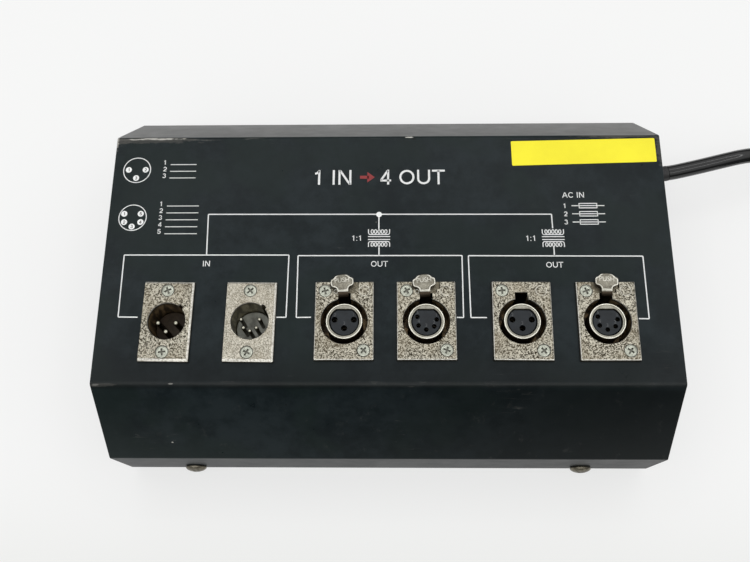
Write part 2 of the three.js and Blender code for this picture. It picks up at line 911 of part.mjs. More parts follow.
function coilLine() {
  const steps = Math.round(coilTurns * coilStepsPerTurn);
  const line = [coilStart.clone().addScaledVector(entryHeading, restGap)];
  for (let k = 0; k <= steps; k += 1) {
    line.push(coilPoint((coilTurns * k) / steps));
  }
  line.push(coilEnd);
  return line;
}

function coilTube(line, heading) {
  const up = new THREE.Vector3(0, 0, 1);
  const positions = [];
  line.forEach((point, i) => {
    const ahead = line[Math.min(i + 1, line.length - 1)];
    const behind = line[Math.max(i - 1, 0)];
    const along = ahead.clone().sub(behind).normalize();
    if (i <= 1) {
      along.copy(heading.start);
    }
    if (i >= line.length - 2) {
      along.copy(heading.end);
    }
    const across = new THREE.Vector3().crossVectors(along, up).normalize();
    const over = new THREE.Vector3().crossVectors(across, along);
    for (let k = 0; k < coilSides; k += 1) {
      const angle = (2 * Math.PI * k) / coilSides;
      const corner = point.clone();
      corner.addScaledVector(across, cordRadius * Math.cos(angle));
      corner.addScaledVector(over, cordRadius * Math.sin(angle));
      positions.push(...corner.toArray());
    }
  });
  const index = [];
  for (let i = 0; i < line.length - 1; i += 1) {
    for (let k = 0; k < coilSides; k += 1) {
      const here = i * coilSides + k;
      const next = i * coilSides + ((k + 1) % coilSides);
      index.push(here, here + coilSides, next);
      index.push(next, here + coilSides, next + coilSides);
    }
  }
  const last = (line.length - 1) * coilSides;
  for (let k = 1; k < coilSides - 1; k += 1) {
    index.push(0, k, k + 1);
    index.push(last, last + k + 1, last + k);
  }
  const geometry = new THREE.BufferGeometry();
  geometry.setAttribute("position", new THREE.Float32BufferAttribute(positions, 3));
  geometry.setIndex(index);
  return geometry;
}

// Least gap of the coil to itself, between points more than half a turn apart
function leastGap(line) {
  let least = Infinity;
  const apart = coilStepsPerTurn / 2;
  const fine = [];
  for (let i = 0; i < line.length - 1; i += 1) {
    fine.push(line[i], line[i].clone().lerp(line[i + 1], 0.5));
  }
  for (let i = 0; i < fine.length; i += 1) {
    for (let j = i + 2 * apart; j < fine.length; j += 1) {
      least = Math.min(least, fine[i].distanceTo(fine[j]));
    }
  }
  return least - 2 * cordRadius;
}

function makeCoil() {
  const line = coilLine();
  addMesh("cord_coil", coilTube(line, { start: entryHeading, end: exitHeading }), cordJacket);
  let length = 0;
  for (let i = 1; i < line.length; i += 1) {
    length += line[i].distanceTo(line[i - 1]);
  }
  console.log(`coil: least gap to itself ${leastGap(line).toFixed(2)} mm, ${length.toFixed(0)} mm long`);
}

// Plug with a tapered neck, two flat blades and a round earth pin, lying on its side
function makePlug() {
  const x = plugBody.width / 2 - plugBevel;
  const y = plugBody.height / 2 - plugBevel;
  const outline = roundedOutline(
    [
      [-x, -y],
      [x, -y],
      [x, y],
      [-x, y],
    ].map(([across, up]) => new THREE.Vector2(across, up)),
    [plugCorner, plugCorner, plugCorner, plugCorner],
    foldSteps,
  );
  const bodyStart = plugNeckLength;
  const body = new THREE.ExtrudeGeometry(new THREE.Shape(outline), {
    depth: plugBody.length - 2 * plugBevel,
    bevelEnabled: true,
    bevelThickness: plugBevel,
    bevelSize: plugBevel,
    bevelSegments: 2,
  });
  body.translate(0, 0, bodyStart + plugBevel);
  const face = bodyStart + plugBody.length;
  const neck = turned(
    [
      [0, 0],
      [plugNeckTip, 0],
      [plugNeckRoot, bodyStart],
      [plugNeckRoot, bodyStart + plugNeckLap],
      [0, bodyStart + plugNeckLap],
    ],
    smallSides,
  );
  const blades = [-1, 1].map((side) =>
    block(bladeWidth, bladeThick, face - overrun, face + bladeLength, bladeOffset, (side * bladeSpacing) / 2),
  );
  const earth = post(earthRadius, face - overrun, face + earthLength, smallSides, -earthOffset, 0);
  const plug = shaped(body, [neck, ...blades, earth]);
  const lying = new THREE.Matrix4().makeBasis(
    new THREE.Vector3(-exitHeading.y, exitHeading.x, 0),
    new THREE.Vector3(0, 0, 1),
    exitHeading,
  );
  plug.applyMatrix4(lying);
  const seat = groupAt(
    coilEnd.x + exitHeading.x * restGap,
    coilEnd.y + exitHeading.y * restGap,
    coilEnd.z,
  );
  addMesh("mains_plug", plug, cordJacket, seat);
}

makeCover();
makeBase();
makeCoverScrews();
makeConnectors();
makeElectronics();
makeStrainRelief();
makeCord();
makeCoil();
makePlug();

export default part;
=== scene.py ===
import json
import math

import bmesh
import bpy
from mathutils import Matrix, Vector


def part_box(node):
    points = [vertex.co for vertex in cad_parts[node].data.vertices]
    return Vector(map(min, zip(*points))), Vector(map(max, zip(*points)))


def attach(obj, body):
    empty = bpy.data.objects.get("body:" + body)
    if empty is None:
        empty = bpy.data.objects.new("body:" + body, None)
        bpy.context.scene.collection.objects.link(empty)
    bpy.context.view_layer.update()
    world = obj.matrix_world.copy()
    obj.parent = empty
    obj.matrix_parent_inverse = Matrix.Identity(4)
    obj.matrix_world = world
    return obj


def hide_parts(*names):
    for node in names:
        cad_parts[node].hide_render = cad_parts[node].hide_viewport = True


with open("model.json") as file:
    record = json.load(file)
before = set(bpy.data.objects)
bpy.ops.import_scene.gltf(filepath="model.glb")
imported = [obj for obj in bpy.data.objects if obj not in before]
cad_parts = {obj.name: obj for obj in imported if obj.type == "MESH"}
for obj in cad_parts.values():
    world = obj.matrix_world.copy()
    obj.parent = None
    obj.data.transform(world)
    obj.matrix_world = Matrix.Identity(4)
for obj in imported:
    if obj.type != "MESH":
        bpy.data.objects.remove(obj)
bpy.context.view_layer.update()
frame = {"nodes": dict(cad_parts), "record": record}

mm = 0.001  # sizes are in millimetres, finished meshes in metres
rootBody = "box"


# Camera, as the photograph was taken
camera = {"place": (3.34, -132.835, 430.333), "tilt": 18.714, "pan": 1.275, "roll": -0.096, "focal": 848.349}
photoWidth = 750
sensorWidth = 36


def makeCamera():
    data = bpy.data.cameras.new("camera")
    data.sensor_width = sensorWidth
    data.lens = camera["focal"] * sensorWidth / photoWidth
    data.clip_start = 0.01
    data.clip_end = 20
    view = bpy.data.objects.new("camera", data)
    bpy.context.scene.collection.objects.link(view)
    turn = Matrix.Identity(4)
    for axis, degrees in (("X", camera["tilt"]), ("Y", camera["pan"]), ("Z", camera["roll"])):
        turn = turn @ Matrix.Rotation(math.radians(degrees), 4, axis)
    view.matrix_world = Matrix.Translation(Vector(camera["place"]) * mm) @ turn
    bpy.context.scene.camera = view


# Shader maths: a socket that sums can be written with
class Wire:
    def __init__(self, finish, socket):
        self.finish = finish
        self.socket = socket

    def sum(self, operation, *values):
        return self.finish.add("ShaderNodeMath", {"operation": operation}, dict(enumerate(values)))

    def __add__(self, other):
        return self.sum("ADD", self, other)

    def __sub__(self, other):
        return self.sum("SUBTRACT", self, other)

    def __rsub__(self, other):
        return self.sum("SUBTRACT", other, self)

    def __mul__(self, other):
        return self.sum("MULTIPLY", self, other)

    def __truediv__(self, other):
        return self.sum("DIVIDE", self, other)

    def __pow__(self, other):
        return self.sum("POWER", self, other)

    def __abs__(self):
        return self.sum("ABSOLUTE", self)

    __radd__ = __add__
    __rmul__ = __mul__

    def most(self, other):
        return self.sum("MAXIMUM", self, other)

    # 0 below low, 1 above high, smooth between
    def ramp(self, low, high):
        settings = {"interpolation_type": "SMOOTHSTEP"}
        sockets = {"Value": self, "From Min": low, "From Max": high}
        return self.finish.add("ShaderNodeMapRange", settings, sockets)


class Nodes:
    def add(self, kind, settings, sockets, output=0):
        node = self.tree.nodes.new(kind)
        for name, value in settings.items():
            setattr(node, name, value)
        for key, value in sockets.items():
            if isinstance(value, Wire):
                self.tree.links.new(value.socket, node.inputs[key])
            else:
                node.inputs[key].default_value = value
        return Wire(self, node.outputs[output])


class Finish(Nodes):
    def __init__(self, name, look):
        self.material = bpy.data.materials.new(name)
        self.material.use_nodes = True
        self.tree = self.material.node_tree
        self.shader = next(node for node in self.tree.nodes if node.type == "BSDF_PRINCIPLED")
        self.feed(look)
        vector = self.add("ShaderNodeTexCoord", {}, {}, "Object")
        self.place = self.add("ShaderNodeMapping", {}, {"Vector": vector, "Scale": (1 / mm, 1 / mm, 1 / mm)})

    def feed(self, look):
        for name, value in look.items():
            if isinstance(value, Wire):
                self.tree.links.new(value.socket, self.shader.inputs[name])
            else:
                self.shader.inputs[name].default_value = value

    def axes(self):
        return [self.add("ShaderNodeSeparateXYZ", {}, {0: self.place}, k) for k in range(3)]

    def stretched(self, scale, turn=(0, 0, 0), shift=(0, 0, 0)):
        sockets = {"Vector": self.place, "Scale": scale, "Rotation": turn, "Location": shift}
        return self.add("ShaderNodeMapping", {}, sockets)

    def noise(self, scale, detail, rough, vector=None):
        sockets = {"Vector": vector or self.place, "Scale": scale, "Detail": detail, "Roughness": rough}
        return self.add("ShaderNodeTexNoise", {}, sockets)

    def cells(self, scale):
        return self.add("ShaderNodeTexVoronoi", {}, {"Vector": self.place, "Scale": scale}, "Distance")

    def mix(self, factor, low, high):
        full = [color if isinstance(color, Wire) else (*color, 1) for color in (low, high)]
        return self.add("ShaderNodeMix", {"data_type": "RGBA"}, {0: factor, 6: full[0], 7: full[1]}, 2)

    def bump(self, height, strength, distance):
        sockets = {"Height": height, "Strength": strength, "Distance": distance}
        self.feed({"Normal": self.add("ShaderNodeBump", {}, sockets)})


class Sky(Nodes):
    def __init__(self, name):
        self.world = bpy.data.worlds.new(name)
        self.world.use_nodes = True
        self.tree = self.world.node_tree
        self.light = self.tree.nodes["Background"]
        vector = self.add("ShaderNodeTexCoord", {}, {}, "Object")
        self.way = [self.add("ShaderNodeSeparateXYZ", {}, {0: vector}, k) for k in range(3)]


# Geometry Nodes: a tree with named inputs, built step by step
class Recipe:
    def __init__(self, name, inputs):
        self.tree = bpy.data.node_groups.new(name, "GeometryNodeTree")
        self.tree.interface.new_socket("Geometry", in_out="INPUT", socket_type="NodeSocketGeometry")
        self.named = {}
        for label, (kind, value) in inputs.items():
            socket = self.tree.interface.new_socket(label, in_out="INPUT", socket_type="NodeSocket" + kind)
            if kind not in ("Object", "Material"):
                socket.default_value = value
            self.named[label] = (socket.identifier, value)
        self.tree.interface.new_socket("Geometry", in_out="OUTPUT", socket_type="NodeSocketGeometry")
        self.start = self.tree.nodes.new("NodeGroupInput")

    def add(self, kind, settings, sockets, output=0):
        node = self.tree.nodes.new(kind)
        for name, value in settings.items():
            setattr(node, name, value)
        for key, value in sockets.items():
            if isinstance(value, bpy.types.NodeSocket):
                self.tree.links.new(value, node.inputs[key])
            else:
                node.inputs[key].default_value = value
        return node.outputs[output]

    def given(self, label):
        return self.start.outputs[label]

    # Ends the tree, runs it on an object and turns the result into a plain mesh
    def run(self, piece, geometry, name):
        solid = self.add("GeometryNodeRealizeInstances", {}, {0: geometry})
        painted = self.add("GeometryNodeSetMaterial", {}, {0: solid, "Material": self.given("Material")})
        end = self.tree.nodes.new("NodeGroupOutput")
        self.tree.links.new(painted, end.inputs[0])
        modifier = piece.modifiers.new(name, "NODES")
        modifier.node_group = self.tree
        for identifier, value in self.named.values():
            modifier[identifier] = value
        made = evaluated(piece)
        made.name = name
        bpy.data.objects.remove(piece)
        return place(name, made)


# Pieces and meshes
def place(name, mesh, finish=None):
    piece = bpy.data.objects.new(name, mesh)
    bpy.context.scene.collection.objects.link(piece)
    if finish:
        mesh.materials.clear()
        mesh.materials.append(finish)
    return piece


def evaluated(piece):
    graph = bpy.context.evaluated_depsgraph_get()
    return bpy.data.meshes.new_from_object(piece.evaluated_get(graph))


def meshOf(form):
    mesh = bpy.data.meshes.new("part")
    form.to_mesh(mesh)
    form.free()
    return mesh


# Smooth within the angle, sharp past it, and in metres
def finished(name, mesh, finish=None, angle=38):
    mesh.transform(Matrix.Scale(mm, 4))
    mesh.shade_smooth()
    mesh.set_sharp_from_angle(angle=math.radians(angle))
    return place(name, mesh, finish)


def joined(meshes):
    form = bmesh.new()
    for mesh in meshes:
        form.from_mesh(mesh)
        bpy.data.meshes.remove(mesh)
    return meshOf(form)


def moved(mesh, offset=(0, 0, 0), turn=0, axis="Z"):
    mesh.transform(Matrix.Translation(offset) @ Matrix.Rotation(math.radians(turn), 4, axis))
    return mesh


# Loops of points joined one to the next, with both ends closed
def loft(loops):
    form = bmesh.new()
    rings = [[form.verts.new(point) for point in points] for points in loops]
    for low, high in zip(rings, rings[1:]):
        for i, corner in enumerate(low):
            k = (i + 1) % len(low)
            form.faces.new((corner, low[k], high[k], high[i]))
    form.faces.new(rings[0])
    form.faces.new(rings[-1])
    bmesh.ops.recalc_face_normals(form, faces=form.faces)
    return meshOf(form)


# A profile of radius and height turned about Z; it starts and ends on the axis, or closes on itself
def turned(profile, sides, centre=(0, 0), closed=False):
    form = bmesh.new()
    rings = []
    for radius, height in profile:
        count = sides if radius > 0 else 1
        angles = [2 * math.pi * k / sides for k in range(count)]
        rings.append([
            form.verts.new((centre[0] + radius * math.cos(a), centre[1] + radius * math.sin(a), height))
            for a in angles
        ])
    pairs = list(zip(rings, rings[1:]))
    if closed:
        pairs.append((rings[-1], rings[0]))
    for low, high in pairs:
        for i in range(sides):
            k = (i + 1) % sides
            corners = [low[i % len(low)], low[k % len(low)], high[k % len(high)], high[i % len(high)]]
            corners = list(dict.fromkeys(corners))
            if len(corners) > 2:
                form.faces.new(corners)
    bmesh.ops.recalc_face_normals(form, faces=form.faces)
    return meshOf(form)


def rod(radius, low, high, sides, centre=(0, 0)):
    return turned([(0, low), (radius, low), (radius, high), (0, high)], sides, centre)


def block(low, high):
    corners = [(low[0], low[1]), (high[0], low[1]), (high[0], high[1]), (low[0], high[1])]
    return loft([[(x, y, z) for x, y in corners] for z in (low[2], high[2])])


def arc(centre, radius, start, end, steps):
    turns = [math.radians(start + (end - start) * k / steps) for k in range(steps + 1)]
    return [(centre[0] + radius * math.cos(t), centre[1] + radius * math.sin(t)) for t in turns]


def roundedRectangle(width, length, radius, steps):
    points = []
    for side, end, start in ((1, 1, 0), (-1, 1, 90), (-1, -1, 180), (1, -1, 270)):
        centre = (side * (width / 2 - radius), end * (length / 2 - radius))
        points += arc(centre, radius, start, start + 90, steps)
    return points


# An outline moved inward, point by point, along the line halfway between its two sides
def inset(outline, distance):
    area = sum(a[0] * b[1] - b[0] * a[1] for a, b in zip(outline, outline[1:] + outline[:1]))
    facing = 1 if area > 0 else -1
    result = []
    for i, point in enumerate(outline):
        here = Vector(point)
        into = (here - Vector(outline[i - 1])).normalized()
        out = (Vector(outline[(i + 1) % len(outline)]) - here).normalized()
        across = Vector((-into.y - out.y, into.x + out.x)) * facing
        result.append(tuple(here + across * (distance / max(1 + into.dot(out), 0.3))))
    return result


# An outline raised through layers of height and inset
def raised(outline, layers):
    return loft([[(x, y, height) for x, y in inset(outline, step)] for height, step in layers])


# An outline with its corners rounded where a radius is given
def roundedOutline(corners, radii, steps):
    points = []
    for i, (corner, radius) in enumerate(zip(corners, radii)):
        here = Vector(corner)
        if not radius:
            points.append(tuple(here))
            continue
        into = (here - Vector(corners[i - 1])).normalized()
        out = (Vector(corners[(i + 1) % len(corners)]) - here).normalized()
        turn = math.atan2(into.x * out.y - into.y * out.x, into.dot(out))
        start = here - into * radius * math.tan(abs(turn) / 2)
        side = Vector((-into.y, into.x)) * math.copysign(radius, turn)
        for k in range(steps + 1):
            points.append(tuple(start + side + Matrix.Rotation(turn * k / steps, 2) @ -side))
    return points


# A bow from the first point to the last, drawn towards the middle one
def bentThrough(corners, steps):
    start, bend, end = (Vector(point) for point in corners)
    shares = [k / steps for k in range(steps + 1)]
    return [tuple(start.lerp(bend, s).lerp(bend.lerp(end, s), s)) for s in shares]


# Cuts from, adds to or keeps the common part of a mesh
def combined(body, others, operation="DIFFERENCE"):
    piece = place("whole", body)
    tools = []
    for other in others:
        tool = place("tool", other)
        step = piece.modifiers.new("step", "BOOLEAN")
        step.operation = operation
        step.solver = "EXACT"
        step.object = tool
        tools.append(tool)
    result = evaluated(piece)
    for spent in (piece, *tools):
        bpy.data.objects.remove(spent)
    return result


# Narrow round edges where two faces meet at more than the angle
def bevelled(mesh, width, segments=2, angle=35):
    piece = place("whole", mesh)
    step = piece.modifiers.new("edges", "BEVEL")
    step.width = width
    step.segments = segments
    step.limit_method = "ANGLE"
    step.angle_limit = math.radians(angle)
    step.use_clamp_overlap = True
    result = evaluated(piece)
    bpy.data.objects.remove(piece)
    return result


# Puts a piece on the body it rides on and hides the CAD nodes it stands for
def handOver(piece, nodes=(), body=rootBody):
    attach(piece, body)
    if nodes:
        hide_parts(*nodes)


def nodeBox(name):
    return [Vector(corner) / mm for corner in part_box(name)]


def middle(name):
    low, high = nodeBox(name)
    return (low + high) / 2


print("camera")
makeCamera()


# Cord: leaves the strain relief, lies down on the table and is wound up past the picture's edge
cord = {"radius": 3.9, "length": 1.9}  # the length is in metres
cordPoints = [
    (146.54, 64.15, 24), (150.5, 64.86, 24.02), (156, 66.1, 24.05), (162, 67.5, 24.1),
    (168, 68.95, 24.2), (174, 70.45, 24.3), (180, 71.95, 24.35), (186, 73.4, 24.2),
    (193, 74.9, 23.2), (200, 76.3, 21.3), (207, 77.65, 18.85), (214, 79, 16.1),
    (221, 80.35, 13.25), (228, 81.7, 10.49), (235, 83.12, 8), (242, 84.59, 5.97),
    (249, 86.1, 4.6), (256, 87.61, 4.1),
]
coil = {"innerRadius": 31.6, "pitch": 8.4, "layer": 8.35, "entry": 102.15, "turns": 6.284}
coil.update({"climbTurns": 0.5, "stepsPerTurn": 24, "lead": 8.1, "tail": 26, "gap": 0.3})


def smoothStep(value, low, high):
    share = min(max((value - low) / (high - low), 0), 1)
    return share * share * (3 - 2 * share)


def heading(angle):
    return Vector((math.sin(angle), -math.cos(angle), 0))


# Spirals in on the table, climbs a layer where it turns back, and spirals out on top
def coilRoute():
    half = coil["turns"] / 2
    entry = math.radians(coil["entry"])
    start = Vector(cordPoints[-1]) + heading(entry) * coil["lead"]
    startRadius = coil["innerRadius"] + half * coil["pitch"]
    centre = start - Vector((math.cos(entry), math.sin(entry), 0)) * startRadius
    steps = round(coil["turns"] * coil["stepsPerTurn"])
    points = []
    for k in range(steps + 1):
        turn = coil["turns"] * k / steps
        radius = coil["innerRadius"] + coil["pitch"] * abs(turn - half)
        climb = smoothStep(turn - half, -coil["climbTurns"] / 2, coil["climbTurns"] / 2)
        angle = entry - 2 * math.pi * turn
        lift = Vector((radius * math.cos(angle), radius * math.sin(angle), coil["layer"] * climb))
        points.append(centre + lift)
    way = heading(entry - 2 * math.pi * coil["turns"])
    end = points[-1] + way * coil["tail"]
    return points, end, way


def makeCord(finish):
    turns, end, way = coilRoute()
    points = [Vector(point) for point in cordPoints] + turns + [end + way * coil["gap"]]
    line = bpy.data.curves.new("mains_cord", "CURVE")
    line.dimensions = "3D"
    line.resolution_u = 5
    line.bevel_depth = cord["radius"] * mm
    line.bevel_resolution = 6
    line.use_fill_caps = True
    spline = line.splines.new("BEZIER")
    spline.bezier_points.add(len(points) - 1)
    for knot, point in zip(spline.bezier_points, points):
        knot.co = point * mm
        knot.handle_left_type = "AUTO"
        knot.handle_right_type = "AUTO"
    line.materials.append(finish)
    piece = bpy.data.objects.new("mains_cord", line)
    bpy.context.scene.collection.objects.link(piece)
    return piece


# Finishes
def paintFinish(name, look):
    finish = Finish(name, {"Metallic": 0, "Specular IOR Level": look["gloss"]})
    x, y, z = finish.axes()
    cloudy = finish.noise(0.022, 3, 0.6)
    smudge = finish.noise(0.1, 4, 0.62)
    fine = finish.noise(1.5, 3, 0.6)
    tone = cloudy * 0.35 + smudge * 0.4 + finish.noise(0.34, 3, 0.6) * 0.15 + fine * 0.1
    base = finish.mix(tone.ramp(0.4, 0.6), look["dark"], look["light"])
    tint = finish.noise(0.035, 2, 0.5)
    base = finish.mix(tint.ramp(0.45, 0.62) * 0.6, base, look["tint"])
    below = 1 - z.ramp(look["top"] - 3, look["top"] - 1)
    # painted shade: the slopes and walls below the top are darkened towards the right
    base = finish.mix(below * x.ramp(-60, 120) * 0.9, base, look["paintedShade"])
    # painted shade: the top panel is darkened towards its front edge
    nearFront = 1 - y.ramp(look["frontFold"], look["frontFold"] + look["frontShade"])
    base = finish.mix(nearFront * (1 - below) * 0.6, base, look["paintedShade"])
    aboveWall = z.ramp(*look["wallEnd"])
    behind = y.ramp(look["rearFold"] - 0.5, look["rearFold"] + 2)
    dusty = 0.4 + finish.noise(0.13, 5, 0.75, finish.stretched((0.5, 1, 1))).ramp(0.36, 0.66) * 0.35
    base = finish.mix(behind * dusty * (0.25 + aboveWall * 0.75), base, look["dust"])
    # rubbed bands along the upper folds, worst at the rear left corner; along the front fold a faint lighter
    # line that is partly rubbing and partly a painted highlight
    across = finish.noise(0.09, 4, 0.7)
    streaks = finish.noise(0.5, 3, 0.65, finish.stretched((0.12, 1.4, 1.4)))
    onTop = z.ramp(look["top"] - 3.4, look["top"] - 1.2)
    rear = 1 - abs(y - look["rearFold"] + 0.9 + (across - 0.5) * 2).ramp(0.1, 1)
    left = 1 - (x + look["halfWidth"]).ramp(16, 62)
    corner = 1 - (x + look["halfWidth"]).ramp(1, 11)
    rub = (across * 0.45 + streaks * 0.75 + left * 0.27 + corner * 0.2).ramp(0.66, 0.94)
    rearWear = rear * rub * 0.8
    front = 1 - abs(y - look["frontFold"] - 0.2).ramp(0.2, 1.5)
    # the front fold's lighter line: partly painted highlight, partly rubbing
    frontSheenAndWear = front * (0.3 + (across * 0.6 + streaks * 0.5).ramp(0.52, 0.8) * 0.35)
    nicks = front * (streaks * 0.7 + across * 0.4).ramp(0.66, 0.72) * 0.5
    foldWearAndSheen = rearWear.most(frontSheenAndWear * look["frontSheenAndRub"]).most(nicks) * onTop
    # wiped and scuffed patches on the slopes and walls
    scuffs = finish.noise(0.16, 5, 0.72, finish.stretched((1, 1, 0.35), (0.5, 0, 0.3)))
    scuffed = below * scuffs.ramp(0.58, 0.76) * 0.1
    # hairline scratches and a few chipped specks
    lines = finish.noise(0.35, 2, 0.5, finish.stretched((0.05, 1.9, 0.05), (0.2, 0.1, 1.1)))
    patches = finish.noise(0.03, 2, 0.5)
    scratch = (1 - abs(lines - 0.5).ramp(0.0, 0.004)) * patches.ramp(0.58, 0.7) * 0.3
    specks = 1 - finish.cells(0.04).ramp(0.01, 0.018)
    wornAndSheen = foldWearAndSheen.most(scratch).most(specks * 0.55).most(scuffed)
    base = finish.mix(wornAndSheen, base, look["wornAndSheen"])
    fray = finish.noise(0.55, 4, 0.7, finish.stretched((0.4, 1.6, 1))) - 0.5
    for spot, reach, depth, color in look["chips"]:
        sides = [((axis - at) / far) ** 2 for axis, at, far in zip((x, y, z), spot, reach)]
        chip = 1 - (sides[0] + sides[1] + sides[2] + fray * look["fray"][color]).ramp(0.3, 1)
        base = finish.mix(chip * depth, base, look[color])
    dulled = (smudge - 0.5) * 0.16 + wornAndSheen * 0.15 + (1 - aboveWall) * 0.14 + behind * 0.04
    finish.feed({"Base Color": base, "Roughness": look["roughness"] + dulled})
    finish.bump(fine * 0.6 + finish.noise(3.2, 2, 0.5) * 0.25 + smudge * 0.3, look["peel"], 0.05 * mm)
    return finish.material


def plainFinish(name, look):
    finish = Finish(name, {"Metallic": look.get("metal", 0), **look.get("fixed", {})})
    cloudy = finish.noise(look.get("cloud", 0.15), 3, 0.6)
    grain = finish.noise(look.get("grain", 3), 3, 0.6)
    tone = (cloudy * 0.6 + grain * 0.4).ramp(0.3, 0.7)
    finish.feed({
        "Base Color": finish.mix(tone, look["dark"], look["light"]),
        "Roughness": look["roughness"] + (grain - 0.5) * look.get("spread", 0.1),
    })
    finish.bump(grain, look.get("bump", 0.15), look.get("depth", 0.05) * mm)
    return finish.material


# Blasted casting: a sparkling grain on the outside, smooth and brown in the wells
def castFinish(name, look):
    finish = Finish(name, {"Specular IOR Level": 0.5})
    z = finish.axes()[2]
    face = z.ramp(look["face"] - 0.1, look["face"] - 0.03)
    bevel = z.ramp(look["face"] - 0.95, look["face"] - 0.7) * (1 - face)
    deep = 1 - z.ramp(look["face"] - 2.6, look["face"] - 1.9)
    raisedMark = z.ramp(look["face"] + 0.06, look["face"] + 0.12)
    grain = finish.noise(look["grain"], 2, 0.7)
    coarse = finish.noise(look["grain"] * 0.5, 1, 0.5)
    patch = finish.noise(0.09, 3, 0.6)
    tone = (grain * 0.8 + coarse * 0.2).ramp(0.5 - look["soft"], 0.5 + look["soft"])
    outside = finish.mix(tone, look["dark"], look["light"])
    pits = (1 - finish.cells(look["grain"] * 0.55).ramp(0.08, 0.26)) * look["pits"]
    outside = finish.mix(pits, outside, look["pit"])
    outside = finish.mix(patch.ramp(0.4, 0.68) * 0.35, outside, look["warm"])
    # painted highlight: the chamfered edges, and more faintly the raised mark, are painted in a lighter
    # colour
    edge = finish.mix(coarse.ramp(0.3, 0.62), look["edgeDark"], look["edgeLight"])
    outside = finish.mix(bevel.most(raisedMark * 0.6), outside, edge)
    # painted shade: what lies below the face, off the chamfers, such as the flange's sides and the floor of a
    # lever pocket, is painted darker
    side = (1 - face) * (1 - bevel)
    outside = finish.mix(side * 0.75, outside, look["side"])
    streak = finish.noise(0.35, 2, 0.6, finish.stretched((1, 1, 0.25)))
    well = finish.mix(streak.ramp(0.4, 0.66), look["wellDark"], look["wellLight"])
    finish.feed({
        "Base Color": finish.mix(deep, outside, well),
        "Roughness": look["roughness"] + (grain - 0.5) * 0.3 - deep * 0.1 - bevel * 0.1,
        "Metallic": 1 - (deep * look["wellDull"]).most(bevel * look["edgeDull"]),
    })
    finish.bump((grain * 0.6 + coarse * 0.4) * (face + bevel * 0.3), look["bump"], look["depth"] * mm)
    return finish.material


# Steel or plastic whose rims, above the edge height, are painted brighter than what lies below as a painted
# highlight, and which turns to a painted shade colour below the deep height
def rimmedFinish(name, look):
    finish = Finish(name, {"Metallic": look.get("metal", 1), "Specular IOR Level": 0.3})
    y, z = finish.axes()[1:]
    cloudy = finish.noise(look.get("cloud", 0.3), 3, 0.6)
    grain = finish.noise(look.get("grain", 1.8), 3, 0.65)
    tone = (cloudy * 0.5 + grain * 0.5).ramp(0.34, 0.66)
    sunk = finish.mix(tone, look["dark"], look["light"])
    rim = finish.mix(tone, look["rimDark"], look["rimLight"])
    # painted highlight on what stands above the edge height
    high = z.ramp(look["edge"] - look["blur"], look["edge"])
    # painted shade below the deep height, and in front of the bend line where one is given
    deep = 1 - z.ramp(look["deep"] - look["fade"], look["deep"])
    if "bend" in look:
        deep = deep.most(1 - y.ramp(look["bend"] - 0.5, look["bend"]))
    color = finish.mix(high, sunk, rim)
    finish.feed({
        "Base Color": finish.mix(deep, color, look["shade"]),
        "Roughness": look["roughness"] + (grain - 0.5) * 0.16,
    })
    finish.bump(grain, look.get("bump", 0.2), 0.05 * mm)
    return finish.material


print("finishes")
coverLow, coverHigh = nodeBox("top_cover")
panelTop = coverHigh.z
flangeTop = nodeBox("housing_in_3pin")[1].z
box = {"width": coverHigh.x - coverLow.x, "depth": coverHigh.y - coverLow.y, "bottom": coverLow.z}
box.update({"topDepth": 118, "wallHeight": 35, "sheet": 1.5, "fold": 2, "edge": 0.32, "steps": 8})
box.update({"screwHole": 2.3, "screwReach": 6, "cordHole": 5.7, "cordReach": 4})

paint = paintFinish("dark_enamel", {
    "dark": (0.0026, 0.0068, 0.0084), "light": (0.0106, 0.0172, 0.0198), "wornAndSheen": (0.15, 0.148, 0.135),
    "tint": (0.0058, 0.0128, 0.0118), "gloss": 0.16, "roughness": 0.31, "peel": 0.3, "frontSheenAndRub": 0.2,
    "paintedShade": (0.0015, 0.0035, 0.004), "frontShade": 24, "dust": (0.0235, 0.0225, 0.018), "wallEnd": (36, 42),
    "bare": (0.5, 0.49, 0.45), "rubbed": (0.07, 0.068, 0.062), "pitted": (0.0005, 0.0005, 0.0005),
    "fray": {"bare": 6, "rubbed": 5, "pitted": 3},
    "chips": [  # place, reach, strength, colour
        ((-96.46, -79.57, 47.41), (0.5, 0.4, 0.4), 1, "bare"),
        ((-43.5, -66, 65.74), (0.6, 0.5, 0.6), 0.9, "pitted"),
        ((-124.5, -59.27, 75.2), (1.6, 0.5, 1), 0.35, "bare"),
        ((-92.3, -58.8, 75.2), (1.2, 0.35, 1), 0.35, "bare"),
        ((-121.5, -59.4, 75), (7, 0.9, 2), 0.5, "rubbed"), ((10.5, 58.5, 75.2), (2.1, 0.5, 1), 1.5, "bare"),
        ((-109, 57.5, 75.2), (22, 1.8, 2), 0.55, "rubbed"),
        ((-110.5, 58.3, 75.1), (14, 0.55, 1.5), 0.9, "bare"),
        ((-108.5, 59.3, 74.9), (15, 0.4, 1.5), 0.9, "pitted"),
        ((-124.5, 57.2, 75), (4, 2.4, 2), 0.75, "rubbed"),
        ((-126.8, 57, 74), (0.9, 5, 3), 0.6, "bare"),
        ((12.9, 57.6, 75.2), (1.3, 0.35, 1), 0.8, "pitted"), ((110, 58.9, 75), (22, 1.3, 2), 0.8, "rubbed"),
        ((126.4, 52, 75), (1.9, 9, 2), 0.7, "rubbed"),
    ],
    "rearFold": box["topDepth"] / 2, "frontFold": -box["topDepth"] / 2,
    "halfWidth": box["width"] / 2, "top": panelTop,
})
